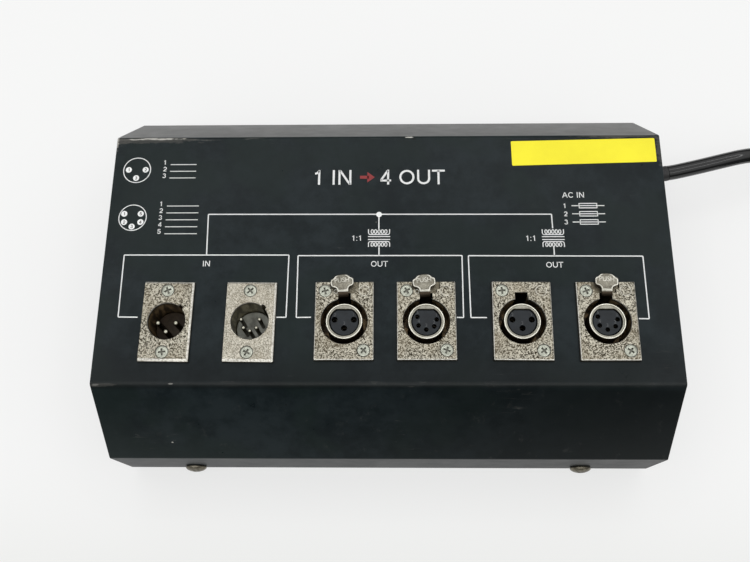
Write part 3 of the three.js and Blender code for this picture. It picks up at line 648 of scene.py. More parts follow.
casting = {
    "dark": (0.03, 0.024, 0.014), "light": (0.54, 0.51, 0.42), "warm": (0.24, 0.2, 0.135), "soft": 0.09,
    "pit": (0.035, 0.027, 0.016), "pits": 0.6, "side": (0.11, 0.095, 0.065),
    "edgeDark": (0.44, 0.42, 0.36), "edgeLight": (0.74, 0.72, 0.65), "edgeDull": 0.5,
    "wellDark": (0.04, 0.028, 0.015), "wellLight": (0.3, 0.21, 0.11), "wellDull": 0.45,
    "roughness": 0.42, "grain": 1.95, "bump": 0.8, "depth": 0.09, "face": flangeTop,
}
castNickel = castFinish("blasted_nickel", casting)
brightWell = castFinish("blasted_nickel_clean", {
    **casting, "dark": (0.16, 0.147, 0.112), "light": (0.66, 0.625, 0.535), "pits": 0.35, "soft": 0.15,
    "grain": 2.4, "wellDark": (0.09, 0.078, 0.046), "wellLight": (0.32, 0.29, 0.19), "wellDull": 0.4,
})
# levers: painted highlight on the head's rim, painted shade below it
leverLook = {
    "dark": (0.13, 0.12, 0.095), "light": (0.3, 0.285, 0.235),
    "rimDark": (0.42, 0.41, 0.35), "rimLight": (0.68, 0.66, 0.59),
    "edge": panelTop + 3.47, "blur": 0.1, "deep": panelTop + 3.2, "fade": 1.3, "shade": (0.05, 0.038, 0.027),
    "roughness": 0.36,
}
# sleeves: painted highlight on the rim, painted shade inside the tube below the shelf
sleeveSteel = rimmedFinish("sleeve_nickel", {
    "dark": (0.22, 0.21, 0.17), "light": (0.36, 0.35, 0.3),
    "rimDark": (0.62, 0.6, 0.5), "rimLight": (0.85, 0.83, 0.74),
    "edge": panelTop + 1.55, "blur": 0.12, "deep": panelTop + 0.9, "fade": 0.6, "shade": (0.16, 0.13, 0.09),
    "roughness": 0.32, "bump": 0.15,
})
# pins: painted highlight on the tips, painted shade down the shafts
pinSteel = rimmedFinish("pin_nickel", {
    "dark": (0.25, 0.24, 0.19), "light": (0.38, 0.37, 0.31),
    "rimDark": (0.42, 0.41, 0.33), "rimLight": (0.56, 0.54, 0.45),
    "edge": panelTop + 0.98, "blur": 0.3, "deep": panelTop + 0.7, "fade": 0.35, "shade": (0.07, 0.06, 0.045),
    "roughness": 0.25, "bump": 0.05,
})
smoothNickel = plainFinish("polished_nickel", {
    "dark": (0.5, 0.49, 0.43), "light": (0.78, 0.77, 0.7), "metal": 1,
    "roughness": 0.3, "grain": 1.6, "bump": 0.25, "depth": 0.06,
})
# flange screws: painted highlight on the head's rim, painted shade in the cross recess
screwSteel = rimmedFinish("flange_screw_steel", {
    "dark": (0.22, 0.22, 0.19), "light": (0.32, 0.32, 0.28),
    "rimDark": (0.31, 0.32, 0.27), "rimLight": (0.5, 0.515, 0.44),
    "edge": flangeTop - 0.16, "blur": 0.12, "deep": flangeTop - 0.32, "fade": 0.35,
    "shade": (0.13, 0.13, 0.11), "roughness": 0.38, "grain": 1.3, "cloud": 0.6, "bump": 0.35,
})
# socket inserts: the face painted a touch lighter as a painted highlight, the contact holes below it painted
# near black as painted shade
socketPlastic = rimmedFinish("socket_plastic", {
    "dark": (0.005, 0.007, 0.009), "light": (0.012, 0.016, 0.02),
    "rimDark": (0.006, 0.008, 0.01), "rimLight": (0.014, 0.0185, 0.023),
    "edge": flangeTop - 1.3, "blur": 0.05, "deep": flangeTop - 1.4, "fade": 0.25,
    "shade": (0.0006, 0.0006, 0.0008), "roughness": 0.45, "metal": 0, "bump": 0.25,
})
dullSteel = plainFinish("cover_screw_steel", {
    "dark": (0.08, 0.07, 0.05), "light": (0.25, 0.23, 0.18), "metal": 1,
    "roughness": 0.38, "grain": 1.2, "cloud": 0.4, "bump": 0.2,
})
zincPlate = plainFinish("plated_sheet", {
    "dark": (0.42, 0.43, 0.43), "light": (0.6, 0.6, 0.58), "metal": 1,
    "roughness": 0.36, "grain": 0.5, "cloud": 0.06, "bump": 0.05,
})
# painted highlight: the raised numbers are painted lighter than the insert they stand on
numberPlastic = plainFinish("number_plastic", {
    "dark": (0.03, 0.034, 0.038), "light": (0.08, 0.086, 0.09), "roughness": 0.4, "grain": 2.2, "bump": 0.1,
})
insertPlastic = plainFinish("component_plastic", {
    "dark": (0.006, 0.008, 0.009), "light": (0.014, 0.0185, 0.021),
    "roughness": 0.45, "grain": 1.4, "bump": 0.25, "fixed": {"Specular IOR Level": 0.3},
})
brownPlastic = plainFinish("male_insert_plastic", {
    "dark": (0.02, 0.014, 0.009), "light": (0.06, 0.042, 0.026),
    "roughness": 0.5, "grain": 0.5, "cloud": 0.12, "bump": 0.2, "fixed": {"Specular IOR Level": 0.25},
})
greyPlastic = plainFinish("male_insert_plastic_clean", {
    "dark": (0.13, 0.13, 0.11), "light": (0.46, 0.475, 0.42),
    "roughness": 0.4, "grain": 0.4, "cloud": 0.14, "bump": 0.2,
})
jacket = plainFinish("glossy_jacket", {
    "dark": (0.0022, 0.0023, 0.0026), "light": (0.005, 0.0051, 0.0056),
    "roughness": 0.09, "spread": 0.05, "grain": 0.5, "bump": 0.1, "depth": 0.1,
})
mouldedRubber = plainFinish("moulded_rubber", {
    "dark": (0.008, 0.008, 0.0085), "light": (0.018, 0.018, 0.018),
    "roughness": 0.52, "grain": 2.5, "bump": 0.3,
})
boardMask = plainFinish("board_mask", {
    "dark": (0.008, 0.07, 0.03), "light": (0.02, 0.12, 0.055), "roughness": 0.35, "grain": 0.4,
})
windingTape = plainFinish("winding_tape", {
    "dark": (0.3, 0.13, 0.02), "light": (0.5, 0.27, 0.06), "roughness": 0.4, "grain": 0.8,
})
fuseGlass = plainFinish("clear_fuse_glass", {
    "dark": (0.62, 0.66, 0.66), "light": (0.75, 0.78, 0.78), "roughness": 0.08, "spread": 0.02, "grain": 1.5,
})
whiteInk = plainFinish("white_ink", {
    "dark": (0.76, 0.77, 0.76), "light": (0.88, 0.89, 0.88), "roughness": 0.5, "grain": 2.4, "bump": 0.05,
})
darkInk = plainFinish("dark_ink", {
    "dark": (0.014, 0.005, 0.001), "light": (0.03, 0.012, 0.004),
    "roughness": 0.5, "grain": 2.4, "bump": 0.05, "fixed": {"Specular IOR Level": 0.2},
})
redInk = plainFinish("red_ink", {
    "dark": (0.2, 0.012, 0.014), "light": (0.3, 0.02, 0.02), "roughness": 0.5, "grain": 2.4, "bump": 0.05,
})
yellowVinyl = plainFinish("yellow_vinyl", {
    "dark": (0.86, 0.75, 0.0), "light": (0.95, 0.85, 0.004), "roughness": 0.4, "cloud": 0.05, "bump": 0.04,
})

print("cord")
mainsCord = makeCord(jacket)


# Folded cover
def coverOutline(insetBy, fold):
    half = box["depth"] / 2
    top = box["topDepth"] / 2
    corners = [
        (-half, box["bottom"]), (half, box["bottom"]), (half, box["bottom"] + box["wallHeight"]),
        (top, panelTop), (-top, panelTop), (-half, box["bottom"] + box["wallHeight"]),
    ]
    corners = inset(corners, insetBy)
    drop = box["sheet"] if insetBy else 0
    corners = [(y, box["bottom"] - drop) if i < 2 else (y, z) for i, (y, z) in enumerate(corners)]
    return roundedOutline(corners, [0, 0, fold, fold, fold, fold], box["steps"])


# The outline set out along X, drawn in towards both ends for soft side edges
def coverBlock(insetBy, fold, halfWidth, edge):
    outline = coverOutline(insetBy, fold)
    stations = [(-halfWidth + edge - x, edge - y) for x, y in arc((0, 0), edge, 0, 90, 4)] if edge else []
    stations = stations or [(-halfWidth, 0)]
    stations += [(-x, step) for x, step in reversed(stations)]
    loops = []
    for x, step in stations:
        shape = inset(outline, step) if step > 0 else outline
        shape = [(y, max(z, box["bottom"])) if not insetBy else (y, z) for y, z in shape]
        loops.append([(x, y, z) for y, z in shape])
    return loft(loops)


connector = {
    "names": ["in_3pin", "in_5pin", "out_a_3pin", "out_a_5pin", "out_b_3pin", "out_b_5pin"],
    "flange": 2, "barrelDepth": 20, "barrelFloor": 3, "sides": 96, "cutTop": 3,
}
maleShape = {
    "width": 22.2, "length": 36.2, "bore": 8.3, "barrel": 10.2, "lip": 0.25,
    "drop": 0.75, "chamfer": (0.35, 1, 1.35, 1), "draft": 0.15, "insertDepth": 11.8, "insertThick": 9,
    "keyWidth": 2.4, "keyDepth": 1, "keyTurn": 47, "screws": [(-0.5, 13.9), (-0.5, -13.9)],
}
femaleShape = {
    "width": 26, "length": 35.6, "bore": 10.25, "barrel": 12, "lip": 0.25,
    "drop": 0.25, "chamfer": (0.65, 0.6, 0.7, 0.5), "draft": 0.3,
    "sleeve": 7.9, "wall": 1.45, "recess": 0.4, "flat": 5.5, "insertRecess": 0.9, "rim": 0.5, "shelf": 0.3,
    "holeGap": 0.15, "holeDepth": 7,
    "slotWidth": 5.6, "slotEnd": 13, "slotRelief": 1, "screws": [(-8.5, 13.4), (8.5, -13.4)],
    "pocketWidth": 12.4, "pocketNeck": 9.6, "pocketStep": 14.3, "pocketDepth": 1.3,
    "markPlace": (8.7, 13.6), "markRadius": 2.6, "markWidth": 0.6, "markHeight": 0.25,
}
flangeScrew = {
    "head": 2.65, "seat": 2.95, "shank": 1.5, "length": 9, "headHeight": 1.5, "gap": 0.3, "sunk": 0.12,
    "bevel": 0.35, "cross": 3.2, "crossWidth": 0.8, "crossDepth": 0.6,
    "turns": (24, 8, 40, 62, 15, 50, 30, 70, 5, 38, 20, 55),
}
femaleContacts = {
    3: [(-4.2, 0.9), (0, -2.95), (4.2, 0.9)],
    5: [(-3.9, 2.2), (-3.4, -1.75), (-0.1, -3.6), (3.4, -2.15), (4.5, 1)],
}
maleContacts = {
    3: [(-3.9, -0.45), (-0.2, -4.35), (3.9, -0.45)],
    5: [(-4, 1.1), (-2.8, -2.7), (0, -4.1), (2.8, -2.7), (4, 1.1)],
}
contactRadius = {3: 1.2, 5: 0.9}
# How far each flange sits off its bore, and how it is turned
flangeSlips = {
    "in_3pin": (-0.1, 0.05, -0.75), "in_5pin": (0, -0.15, -0.6), "out_a_3pin": (0, 0.32, 0.1),
    "out_a_5pin": (0.05, 0.4, 0.1), "out_b_3pin": (0.1, 0.3, -0.45), "out_b_5pin": (0.2, 0.17, 0),
}
boreSlips = {"in_3pin": (-0.4, 0.05), "in_5pin": (-0.15, 0.1)}


def isMale(name):
    return name.startswith("in_")


def contactsOf(name):
    return int(name.split("_")[-1][0])


# Seats are where each connector's axis meets the panel
def seatOf(name):
    spot = middle("housing_" + name)
    slip = boreSlips.get(name, (0, 0))
    return Vector((spot.x + slip[0], spot.y + slip[1], panelTop))


def contactPlaces(name):
    return (maleContacts if isMale(name) else femaleContacts)[contactsOf(name)]


# Screws sit in the flange, which is turned a little
def screwPlaces(name):
    shape = maleShape if isMale(name) else femaleShape
    x, y, turn = flangeSlips[name]
    spin = Matrix.Rotation(math.radians(turn), 2)
    return [Vector((x, y)) + spin @ Vector(spot) for spot in shape["screws"]]


def makeCover():
    half = box["width"] / 2
    shell = coverBlock(0, box["fold"], half, box["edge"])
    hollow = coverBlock(box["sheet"], box["fold"] - box["sheet"], half - box["sheet"], 0)
    cuts = [hollow]
    low, high = panelTop - 2 * box["sheet"], panelTop + 1
    for name in connector["names"]:
        seat = seatOf(name)
        shape = maleShape if isMale(name) else femaleShape
        radius = shape["barrel"] + flangeScrew["gap"]
        cuts.append(rod(radius, low, high, 48, seat.xy))
        if not isMale(name):
            reach = shape["slotEnd"] + shape["slotRelief"]
            side = shape["slotWidth"] / 2
            cuts.append(block((seat.x - side, seat.y, low), (seat.x + side, seat.y + reach, high)))
        for x, y in screwPlaces(name):
            radius = flangeScrew["shank"] + flangeScrew["gap"]
            cuts.append(rod(radius, low, high, 16, (seat.x + x, seat.y + y)))
    for side in ("left", "right"):
        for end in ("front", "rear"):
            spot = middle(f"cover_screw_{end}_{side}")
            hole = rod(box["screwHole"], -box["screwReach"], box["screwReach"], 16)
            moved(hole, turn=90, axis="X")
            cuts.append(moved(hole, (spot.x, math.copysign(box["depth"] / 2, spot.y), spot.z)))
    hole = moved(rod(box["cordHole"], -box["cordReach"], box["cordReach"], 48), turn=90, axis="Y")
    cuts.append(moved(hole, (box["width"] / 2, relief["exitY"], middle("strain_relief").z)))
    piece = finished("cover_shell", combined(shell, cuts), paint, 30)
    handOver(piece, ["top_cover"])


# Connector housings
def reliefCut(radius, lip, low):
    top = connector["flange"]
    edge = arc((radius + lip, top - lip), lip, 180, 90, 4)
    return [(0, low), (radius, low), *edge, (radius + lip, top + 1), (0, top + 1)]


def screwSeat(x, y):
    top = connector["flange"]
    bottom = top - flangeScrew["headHeight"]
    radius = flangeScrew["shank"] + flangeScrew["gap"]
    rim = flangeScrew["seat"]
    profile = [(0, -1), (radius, -1), (radius, bottom - 0.3), (rim, top - 0.3), (rim, top + 1), (0, top + 1)]
    return turned(profile, 40, (x, y))


# Left, right, front and rear edges of the flange are chamfered each by its own width
def flangePlate(name, shape):
    top = connector["flange"]
    full = (1, 1, 1, 1)
    layers = [(0, full, 0), (0.25, full, 0)]
    layers += [(top - shape["drop"], full, shape["draft"]), (top, shape["chamfer"], 1)]
    loops = []
    for height, widths, share in layers:
        left, right, near, far = (width * share for width in widths)
        outline = roundedRectangle(shape["width"] - left - right, shape["length"] - near - far, 0.3, 3)
        loops.append([(x + (left - right) / 2, y + (near - far) / 2, height) for x, y in outline])
    x, y, turn = flangeSlips[name]
    return moved(loft(loops), (x, y, 0), turn)


def barrel(radius):
    return rod(radius, -connector["barrelDepth"], connector["flange"] / 2, 64)


def maleHousing(name):
    shape = maleShape
    floor = -connector["barrelDepth"] + connector["barrelFloor"]
    reach = shape["bore"] + shape["keyDepth"]
    key = block((-shape["keyWidth"] / 2, 0, floor), (shape["keyWidth"] / 2, reach, connector["cutTop"]))
    moved(key, turn=shape["keyTurn"] - 90)
    bore = reliefCut(shape["bore"], shape["lip"], -connector["barrelDepth"] - 1)
    cuts = [turned(bore, connector["sides"]), key]
    cuts += [screwSeat(x, y) for x, y in screwPlaces(name)]
    return combined(combined(flangePlate(name, shape), [barrel(shape["barrel"])], "UNION"), cuts)


# Round stock with its rear side cut flat
def flatted(radius, flat, steps=80):
    start = math.degrees(math.asin(flat / radius))
    return arc((0, 0), radius, 180 - start, 360 + start, steps)


def femaleHousing(name, hasLatch):
    shape = femaleShape
    top = connector["flange"]
    floor = -connector["barrelDepth"] + connector["barrelFloor"]
    cuts = [turned(reliefCut(shape["bore"], shape["lip"], floor), connector["sides"])]
    cuts.append(rod(shape["sleeve"] - 0.5, -connector["barrelDepth"] - 1, 0, 64))
    side = shape["slotWidth"] / 2
    cuts.append(block((-side, 0, floor), (side, shape["slotEnd"], connector["cutTop"])))
    cuts += [screwSeat(x, y) for x, y in screwPlaces(name)]
    if hasLatch:
        low = top - shape["pocketDepth"]
        neck = (shape["pocketNeck"], shape["slotEnd"] - 0.5)
        wide = (shape["pocketWidth"], shape["pocketStep"])
        for width, start in (neck, wide):
            outline = roundedRectangle(width, shape["length"], 0.8, 4)
            layers = [(low, 0.3), (low + 0.3, 0), (top + 1, 0)]
            cuts.append(moved(raised(outline, layers), (0, start + shape["length"] / 2, 0)))
    ring, width = shape["markRadius"], shape["markWidth"]
    low, high = top - 0.2, top + shape["markHeight"]
    profile = [(ring - width, low), (ring, low), (ring - width / 4, high), (ring - width * 0.75, high)]
    mark = turned(profile, 40, shape["markPlace"], closed=True)
    body = combined(flangePlate(name, shape), [barrel(shape["barrel"])], "UNION")
    return combined(combined(body, cuts), [mark], "UNION")


# The tube that the insert sits in: a bright rim around a lower shelf, flat on its rear side
def sleeveTube():
    shape = femaleShape
    floor = -connector["barrelDepth"] + connector["barrelFloor"]
    top = connector["flange"] - shape["recess"]
    radius, lip, shelf = shape["sleeve"], 0.2, top - shape["shelf"]
    profile = [(0, floor), (radius, floor), *arc((radius - lip, top - lip), lip, 0, 90, 4)]
    profile += [(radius - shape["rim"], top), (radius - shape["rim"] - 0.15, shelf), (0, shelf)]
    body = turned(profile, connector["sides"])
    inner = flatted(radius - shape["wall"], shape["flat"])
    hole = raised(inner, [(floor - 1, 0), (shelf - 0.25, 0), (shelf, -0.2), (top + 1, -0.2)])
    return combined(body, [hole])


# How far the dark inserts' faces stand over the panel
def insertFace():
    return connector["flange"] - femaleShape["recess"] - femaleShape["insertRecess"]


def femaleInsert(name):
    shape = femaleShape
    top = insertFace()
    gap = flangeScrew["gap"]
    outline = flatted(shape["sleeve"] - shape["wall"] - gap, shape["flat"] - gap)
    body = raised(outline, [(-connector["barrelDepth"], 0), (top - 0.2, 0), (top, 0.2)])
    radius = contactRadius[contactsOf(name)] + shape["holeGap"]
    low, high = top - shape["holeDepth"], connector["cutTop"]
    return combined(body, [rod(radius, low, high, 32, spot) for spot in contactPlaces(name)])


# Small raised numbers beside the contacts
raisedNumbers = {
    3: "231", 5: "54321", "cap": 1.5, "bold": 0.04, "thick": 0.12, "sink": 0.02, "gap": 0.3, "drawnIn": 0.97,
}


def insertNumbers(name):
    size = raisedNumbers
    count = contactsOf(name)
    words = []
    for digit, (x, y) in zip(size[count], contactPlaces(name)):
        word = lettering(digit, size["cap"], size["bold"], None, size["thick"])
        spot = (x * size["drawnIn"], y + contactRadius[count] + size["gap"], insertFace() - size["sink"])
        words.append(moved(word, spot))
    return joined(words)


def maleInsert():
    shape = maleShape
    top = -shape["insertDepth"]
    radius = shape["bore"] - flangeScrew["gap"]
    low = top - shape["insertThick"]
    return turned([(0, low), (radius, low), (radius, top - 0.3), (radius - 0.3, top), (0, top)], 64)


def makeHousings():
    for name in connector["names"]:
        seat = seatOf(name)
        hasLatch = "latch_" + name in frame["nodes"]
        mesh = maleHousing(name) if isMale(name) else femaleHousing(name, hasLatch)
        nickel = brightWell if name == "in_5pin" else castNickel
        handOver(finished("casting_" + name, moved(mesh, seat), nickel), ["housing_" + name])
        mesh = maleInsert() if isMale(name) else femaleInsert(name)
        plastic = {"in_3pin": brownPlastic, "in_5pin": greyPlastic}.get(name, socketPlastic)
        handOver(finished("socket_" + name, moved(mesh, seat), plastic), ["insert_" + name])
        if isMale(name):
            continue
        mesh = insertNumbers(name)
        handOver(finished("numbers_" + name, moved(mesh, seat), numberPlastic))
        mesh = sleeveTube()
        handOver(finished("sleeve_" + name, moved(mesh, seat), sleeveSteel, 30))


# What repeats: copies of one template at marked points
def pointCloud(marks):
    mesh = bpy.data.meshes.new("marks")
    mesh.from_pydata([Vector(mark["place"]) * mm for mark in marks], [], [])
    mesh.attributes.new("turn", "FLOAT_VECTOR", "POINT")
    mesh.attributes.new("size", "FLOAT", "POINT")
    for i, mark in enumerate(marks):
        turn = [math.radians(angle) for angle in mark.get("turn", (0, 0, 0))]
        mesh.attributes["turn"].data[i].vector = turn
        mesh.attributes["size"].data[i].value = mark.get("size", 1)
    return place("marks", mesh)


def spread(name, marks, template, finish):
    holder = finished("template", template)
    recipe = Recipe(name + "_recipe", {
        "Template": ("Object", holder), "Material": ("Material", finish), "Scale": ("Float", 1),
    })
    turn = recipe.add("GeometryNodeInputNamedAttribute", {"data_type": "FLOAT_VECTOR"}, {"Name": "turn"})
    size = recipe.add("GeometryNodeInputNamedAttribute", {"data_type": "FLOAT"}, {"Name": "size"})
    size = recipe.add("ShaderNodeMath", {"operation": "MULTIPLY"}, {0: size, 1: recipe.given("Scale")})
    shape = recipe.add("GeometryNodeObjectInfo", {}, {0: recipe.given("Template")}, "Geometry")
    sockets = {"Points": recipe.given("Geometry"), "Instance": shape, "Rotation": turn, "Scale": size}
    copies = recipe.add("GeometryNodeInstanceOnPoints", {}, sockets)
    piece = recipe.run(pointCloud(marks), copies, name)
    bpy.data.objects.remove(holder)
    return piece


# A tapered cross to cut into a screw's head
def crossCutter(length, width, depth, top):
    cuts = []
    for turn in (0, 90):
        low = [(x * length * 0.36, y * width * 0.4) for x, y in ((-1, -1), (1, -1), (1, 1), (-1, 1))]
        high = [(x * length / 2, y * width / 2) for x, y in ((-1, -1), (1, -1), (1, 1), (-1, 1))]
        over = [(x * 1.1, y * 1.1) for x, y in high]
        layers = ((top - depth, low), (top, high), (top + 0.5, over))
        cuts.append(moved(loft([[(x, y, z) for x, y in points] for z, points in layers]), turn=turn))
    return cuts


def flangeScrewTemplate():
    size = flangeScrew
    top, peak = connector["flange"] - size["sunk"], connector["flange"] - size["sunk"] + 0.04
    head, shank = size["head"], size["shank"]
    profile = [(0, -size["length"]), (shank, -size["length"]), (shank, top - size["headHeight"])]
    profile += [(head, top - size["bevel"]), (head, top - 0.12), (head - 0.15, top)]
    profile += [(head * 0.5, top + 0.03), (0, peak)]
    cross = crossCutter(size["cross"], size["crossWidth"], size["crossDepth"], peak)
    return combined(turned(profile, 40), cross)


def makeFlangeScrews():
    marks, nodes = [], []
    turns = iter(flangeScrew["turns"])
    for name in connector["names"]:
        for (x, y), end in zip(screwPlaces(name), ("rear", "front")):
            marks.append({"place": seatOf(name) + Vector((x, y, 0)), "turn": (0, 0, next(turns))})
            nodes.append(f"screw_{name}_{end}")
    piece = spread("flange_screws", marks, flangeScrewTemplate(), screwSteel)
    handOver(piece, nodes)


coverScrew = {
    "head": 5, "height": 2.6, "side": 0.4, "shank": 2, "length": 9, "gap": 0.3,
    "cross": 4.8, "crossWidth": 1.1, "crossDepth": 1.4, "firstTurn": 20, "turnStep": 31,
}


def makeCoverScrews():
    size = coverScrew
    head, low, top = size["head"], size["gap"], size["gap"] + size["height"]
    edge, rise = low + size["side"], size["height"] - size["side"]
    turns = [math.radians(9 * k) for k in range(10)]
    dome = [(head * math.cos(turn), edge + rise * math.sin(turn)) for turn in turns]
    profile = [(0, -size["length"]), (size["shank"], -size["length"]), (size["shank"], low)]
    profile += [(head - 0.1, low), *dome, (0, top)]
    cross = crossCutter(size["cross"], size["crossWidth"], size["crossDepth"], top)
    template = combined(turned(profile, 48), cross)
    marks, nodes = [], []
    for k, (end, side) in enumerate(((e, s) for e in ("front", "rear") for s in ("left", "right"))):
        name = f"cover_screw_{end}_{side}"
        spot = middle(name)
        facing = 1 if end == "rear" else -1
        tip = Matrix.Rotation(math.radians(-90 * facing), 3, "X")
        spin = Matrix.Rotation(math.radians(size["firstTurn"] + size["turnStep"] * k), 3, "Z")
        turn = [math.degrees(angle) for angle in (tip @ spin).to_euler()]  # spun first, then tipped over
        marks.append({"place": (spot.x, facing * box["depth"] / 2, spot.z), "turn": turn})
        nodes.append(name)
    piece = spread("cover_screws", marks, template, dullSteel)
    handOver(piece, nodes)


def makePins():
    for name in connector["names"]:
        if not isMale(name):
            continue
        count = contactsOf(name)
        radius = contactRadius[count]
        low, high = nodeBox(f"pin_{name}_1")
        tip, foot = high.z - panelTop, low.z - panelTop
        profile = [(0, foot), (radius, foot), (radius, tip - radius)]
        profile += arc((0, tip - radius), radius, 0, 90, 6)[1:-1] + [(0, tip)]
        marks = [{"place": seatOf(name) + Vector((x, y, 0))} for x, y in contactPlaces(name)]
        piece = spread("pins_" + name, marks, turned(profile, 32), pinSteel)
        handOver(piece, [f"pin_{name}_{k + 1}" for k in range(count)])


# Spring contacts just inside the holes of the sockets
springContact = {
    "sunk": {3: 4.2, 5: 2.6},
    "wall": [(1.06, -3), (1.28, -3), (1.28, -0.1), (1.22, 0), (1.13, 0), (1.06, -0.1)],
}


def makeContacts():
    marks = []
    for name in connector["names"]:
        if isMale(name):
            continue
        count = contactsOf(name)
        size = contactRadius[count] / contactRadius[3]
        height = insertFace() - springContact["sunk"][count]
        for x, y in contactPlaces(name):
            marks.append({"place": seatOf(name) + Vector((x, y, height)), "size": size})
    ring = turned(springContact["wall"], 28, closed=True)
    piece = spread("socket_contacts", marks, ring, dullSteel)
    handOver(piece)


# The end coil of the latch spring shows beside the neck of two levers
latchSpring = {"radius": 0.85, "wire": 0.25, "x": -3.85, "y": 13.7, "shown": ("out_a_3pin", "out_a_5pin")}


def makeSprings():
    size = latchSpring
    low = connector["flange"] - femaleShape["pocketDepth"] + size["wire"]
    coilEnd = turned(arc((size["radius"], low), size["wire"], 0, 330, 11), 28, closed=True)
    marks = [{"place": seatOf(name) + Vector((size["x"], size["y"], 0))} for name in size["shown"]]
    piece = spread("latch_springs", marks, coilEnd, smoothNickel)
    handOver(piece)


# Latch levers: side view pulled across, kept inside the plan, with a sunk field on the head
lever = {
    "thick": 1.3, "arm": 1, "front": 10.9, "depth": 11, "hookReach": 0.8, "hookHeight": 1.4,
    "neck": 4.5, "head": 9.8, "neckEnd": 13.6, "headFront": 15.6, "headRear": 21.6, "crown": 2.2,
    "corner": 1.2, "bulge": 0.3, "lift": 2.2, "curl": 1.3, "curlRadius": 0.6, "gap": 0.3,
    "rim": 0.5, "sunk": 0.2, "edge": 0.14, "frontBend": 2.9,
}
latches = {  # lean, shift, slip
    "out_a_3pin": (6.5, -0.3, -0.3), "out_a_5pin": (5, -0.3, -0.3), "out_b_5pin": (-2.5, 0.3, 0),
}
# painted shade on the levers' front bends, in front of this line
leverBend = seatOf("out_a_3pin").y + lever["front"] + 2.2
leverSteel = rimmedFinish("latch_nickel", {**leverLook, "bend": leverBend})


def leverPlan():
    size = lever
    neck, head = size["neck"] / 2, size["head"] / 2
    side, corner, bulge = size["headRear"] - size["crown"], size["corner"], size["bulge"]
    front = size["headFront"]
    half = [(neck, 0), (neck, size["neckEnd"])]
    half += bentThrough([(neck, size["neckEnd"]), (neck, front - bulge), (head - corner, front)], 8)[1:]
    half += bentThrough([(head - corner, front), (head, front + bulge), (head, front + corner)], 6)[1:]
    half += bentThrough([(head, side - corner), (head, side - bulge), (head - corner, side)], 6)
    peak = (0, size["headRear"] + size["crown"])
    crown = bentThrough([(head - corner, side), peak, (corner - head, side)], 20)
    mirrored = [(-x, y) for x, y in reversed(half)]
    return half + crown[1:-1] + mirrored


def leverMesh():
    size = lever
    top = size["lift"] + size["thick"]
    front, rear = size["front"], size["headRear"]
    corners = [
        (front, -size["depth"]), (front + size["arm"], -size["depth"]), (front + size["arm"], size["lift"]),
        (rear - size["curl"], size["lift"]), (rear - size["curl"], size["gap"]), (rear, size["gap"]),
        (rear, top), (front, top), (front, -size["depth"] + size["hookHeight"]),
        (front - size["hookReach"], -size["depth"] + size["hookHeight"] / 2),
    ]
    curl, bend = size["curlRadius"], size["thick"]
    side = roundedOutline(corners, [0, 0, 1.9, 0.5, curl, curl, bend, size["frontBend"], 0.3, 0.3], 8)
    half = size["head"] / 2 + 1
    sideBlock = loft([[(x, y, z) for y, z in side] for x in (-half, half)])
    plan = leverPlan()
    planBlock = raised(plan, [(-size["depth"] - 1, 0), (top + 1, 0)])
    body = combined(sideBlock, [planBlock], "INTERSECT")
    upper = [point for point in plan if point[1] > front]
    field = raised(inset(upper, size["rim"]), [(top - size["sunk"], 0.2), (top, 0), (top + 1, 0)])
    body = bevelled(combined(body, [field]), size["edge"])
    word = lettering("PUSH", 2.1, 0.06, 6.4, size["sunk"] + 0.03)
    moved(word, (0, (size["headFront"] + rear) / 2 - 1.1, top - size["sunk"] - 0.02))
    return joined([body, word])


def makeLatches():
    for name, (lean, shift, slip) in latches.items():
        mesh = moved(leverMesh(), (0, -lever["front"], 0))
        moved(mesh, seatOf(name) + Vector((shift, lever["front"] + slip, 0)), lean)
        piece = finished("push_tab_" + name, mesh, leverSteel, 42)
        handOver(piece, ["latch_" + name], latchBodies["latch_" + name])


# A raised word in the built-in font, sized to a cap height and, where one is given, a width
def lettering(words, height, bold, width, thick):
    font = bpy.data.curves.new("letters", "FONT")
    font.body = words
    font.size = 1
    font.offset = bold / 10
    font.extrude = 0.5
    font.resolution_u = 4
    holder = bpy.data.objects.new("letters", font)
    bpy.context.scene.collection.objects.link(holder)
    bpy.context.view_layer.update()
    mesh = evaluated(holder)
    bpy.data.objects.remove(holder)
    xs = [vertex.co.x for vertex in mesh.vertices]
    low, high = min(xs), max(xs)
    stretch = height / capHeight
    across = width / (high - low) if width else stretch
    start = (low + high) / 2
    for vertex in mesh.vertices:
        x, y, z = vertex.co
        vertex.co = ((x - start) * across, y * stretch, (z + 0.5) * thick)
    return mesh


capHeight = 0.69  # of a capital letter in the built-in font at size 1

# Print on the panel, in millimetres from the middle of the box: plain numbers, IN and OUT, and simple signs
panelPrint = {
    "lift": 0.02, "thick": 0.03, "line": 0.55, "corner": 0.35, "signLine": 0.42, "signCorner": 0.02,
    "letterLine": 0.38, "digitLine": 0.24, "digit": 1.5, "ring": 6.3, "dot": 1.42, "dotLift": 0.005,
    "joint": 1.3,
}
printLines = [
    [(-80.7, 0.2), (-81.2, 19.7), (74.6, 19.2), (74.7, 12.3)],
    [(-3.4, 19.4), (-3.4, 12.3)],
    [(-109.1, -29.1), (-117.7, -29.0), (-117.9, 0.0), (-43.6, -0.2), (-43.8, -29.2), (-48.0, -29.2)],
    [(-32.9, -29.2), (-39.3, -29.3), (-39.5, -0.5), (33.7, -0.6), (33.6, -29.4), (30.7, -29.3)],
    [(43.7, -29.4), (36.8, -29.4), (36.5, -0.7), (113.7, -1.1), (113.7, -30.0), (109.2, -29.9)],
    [(-3.3, 3.4), (-3.3, -0.5)],
    [(74.7, 3.4), (74.7, -0.9)],
]
lineJoint = (-3.33, 19.34)
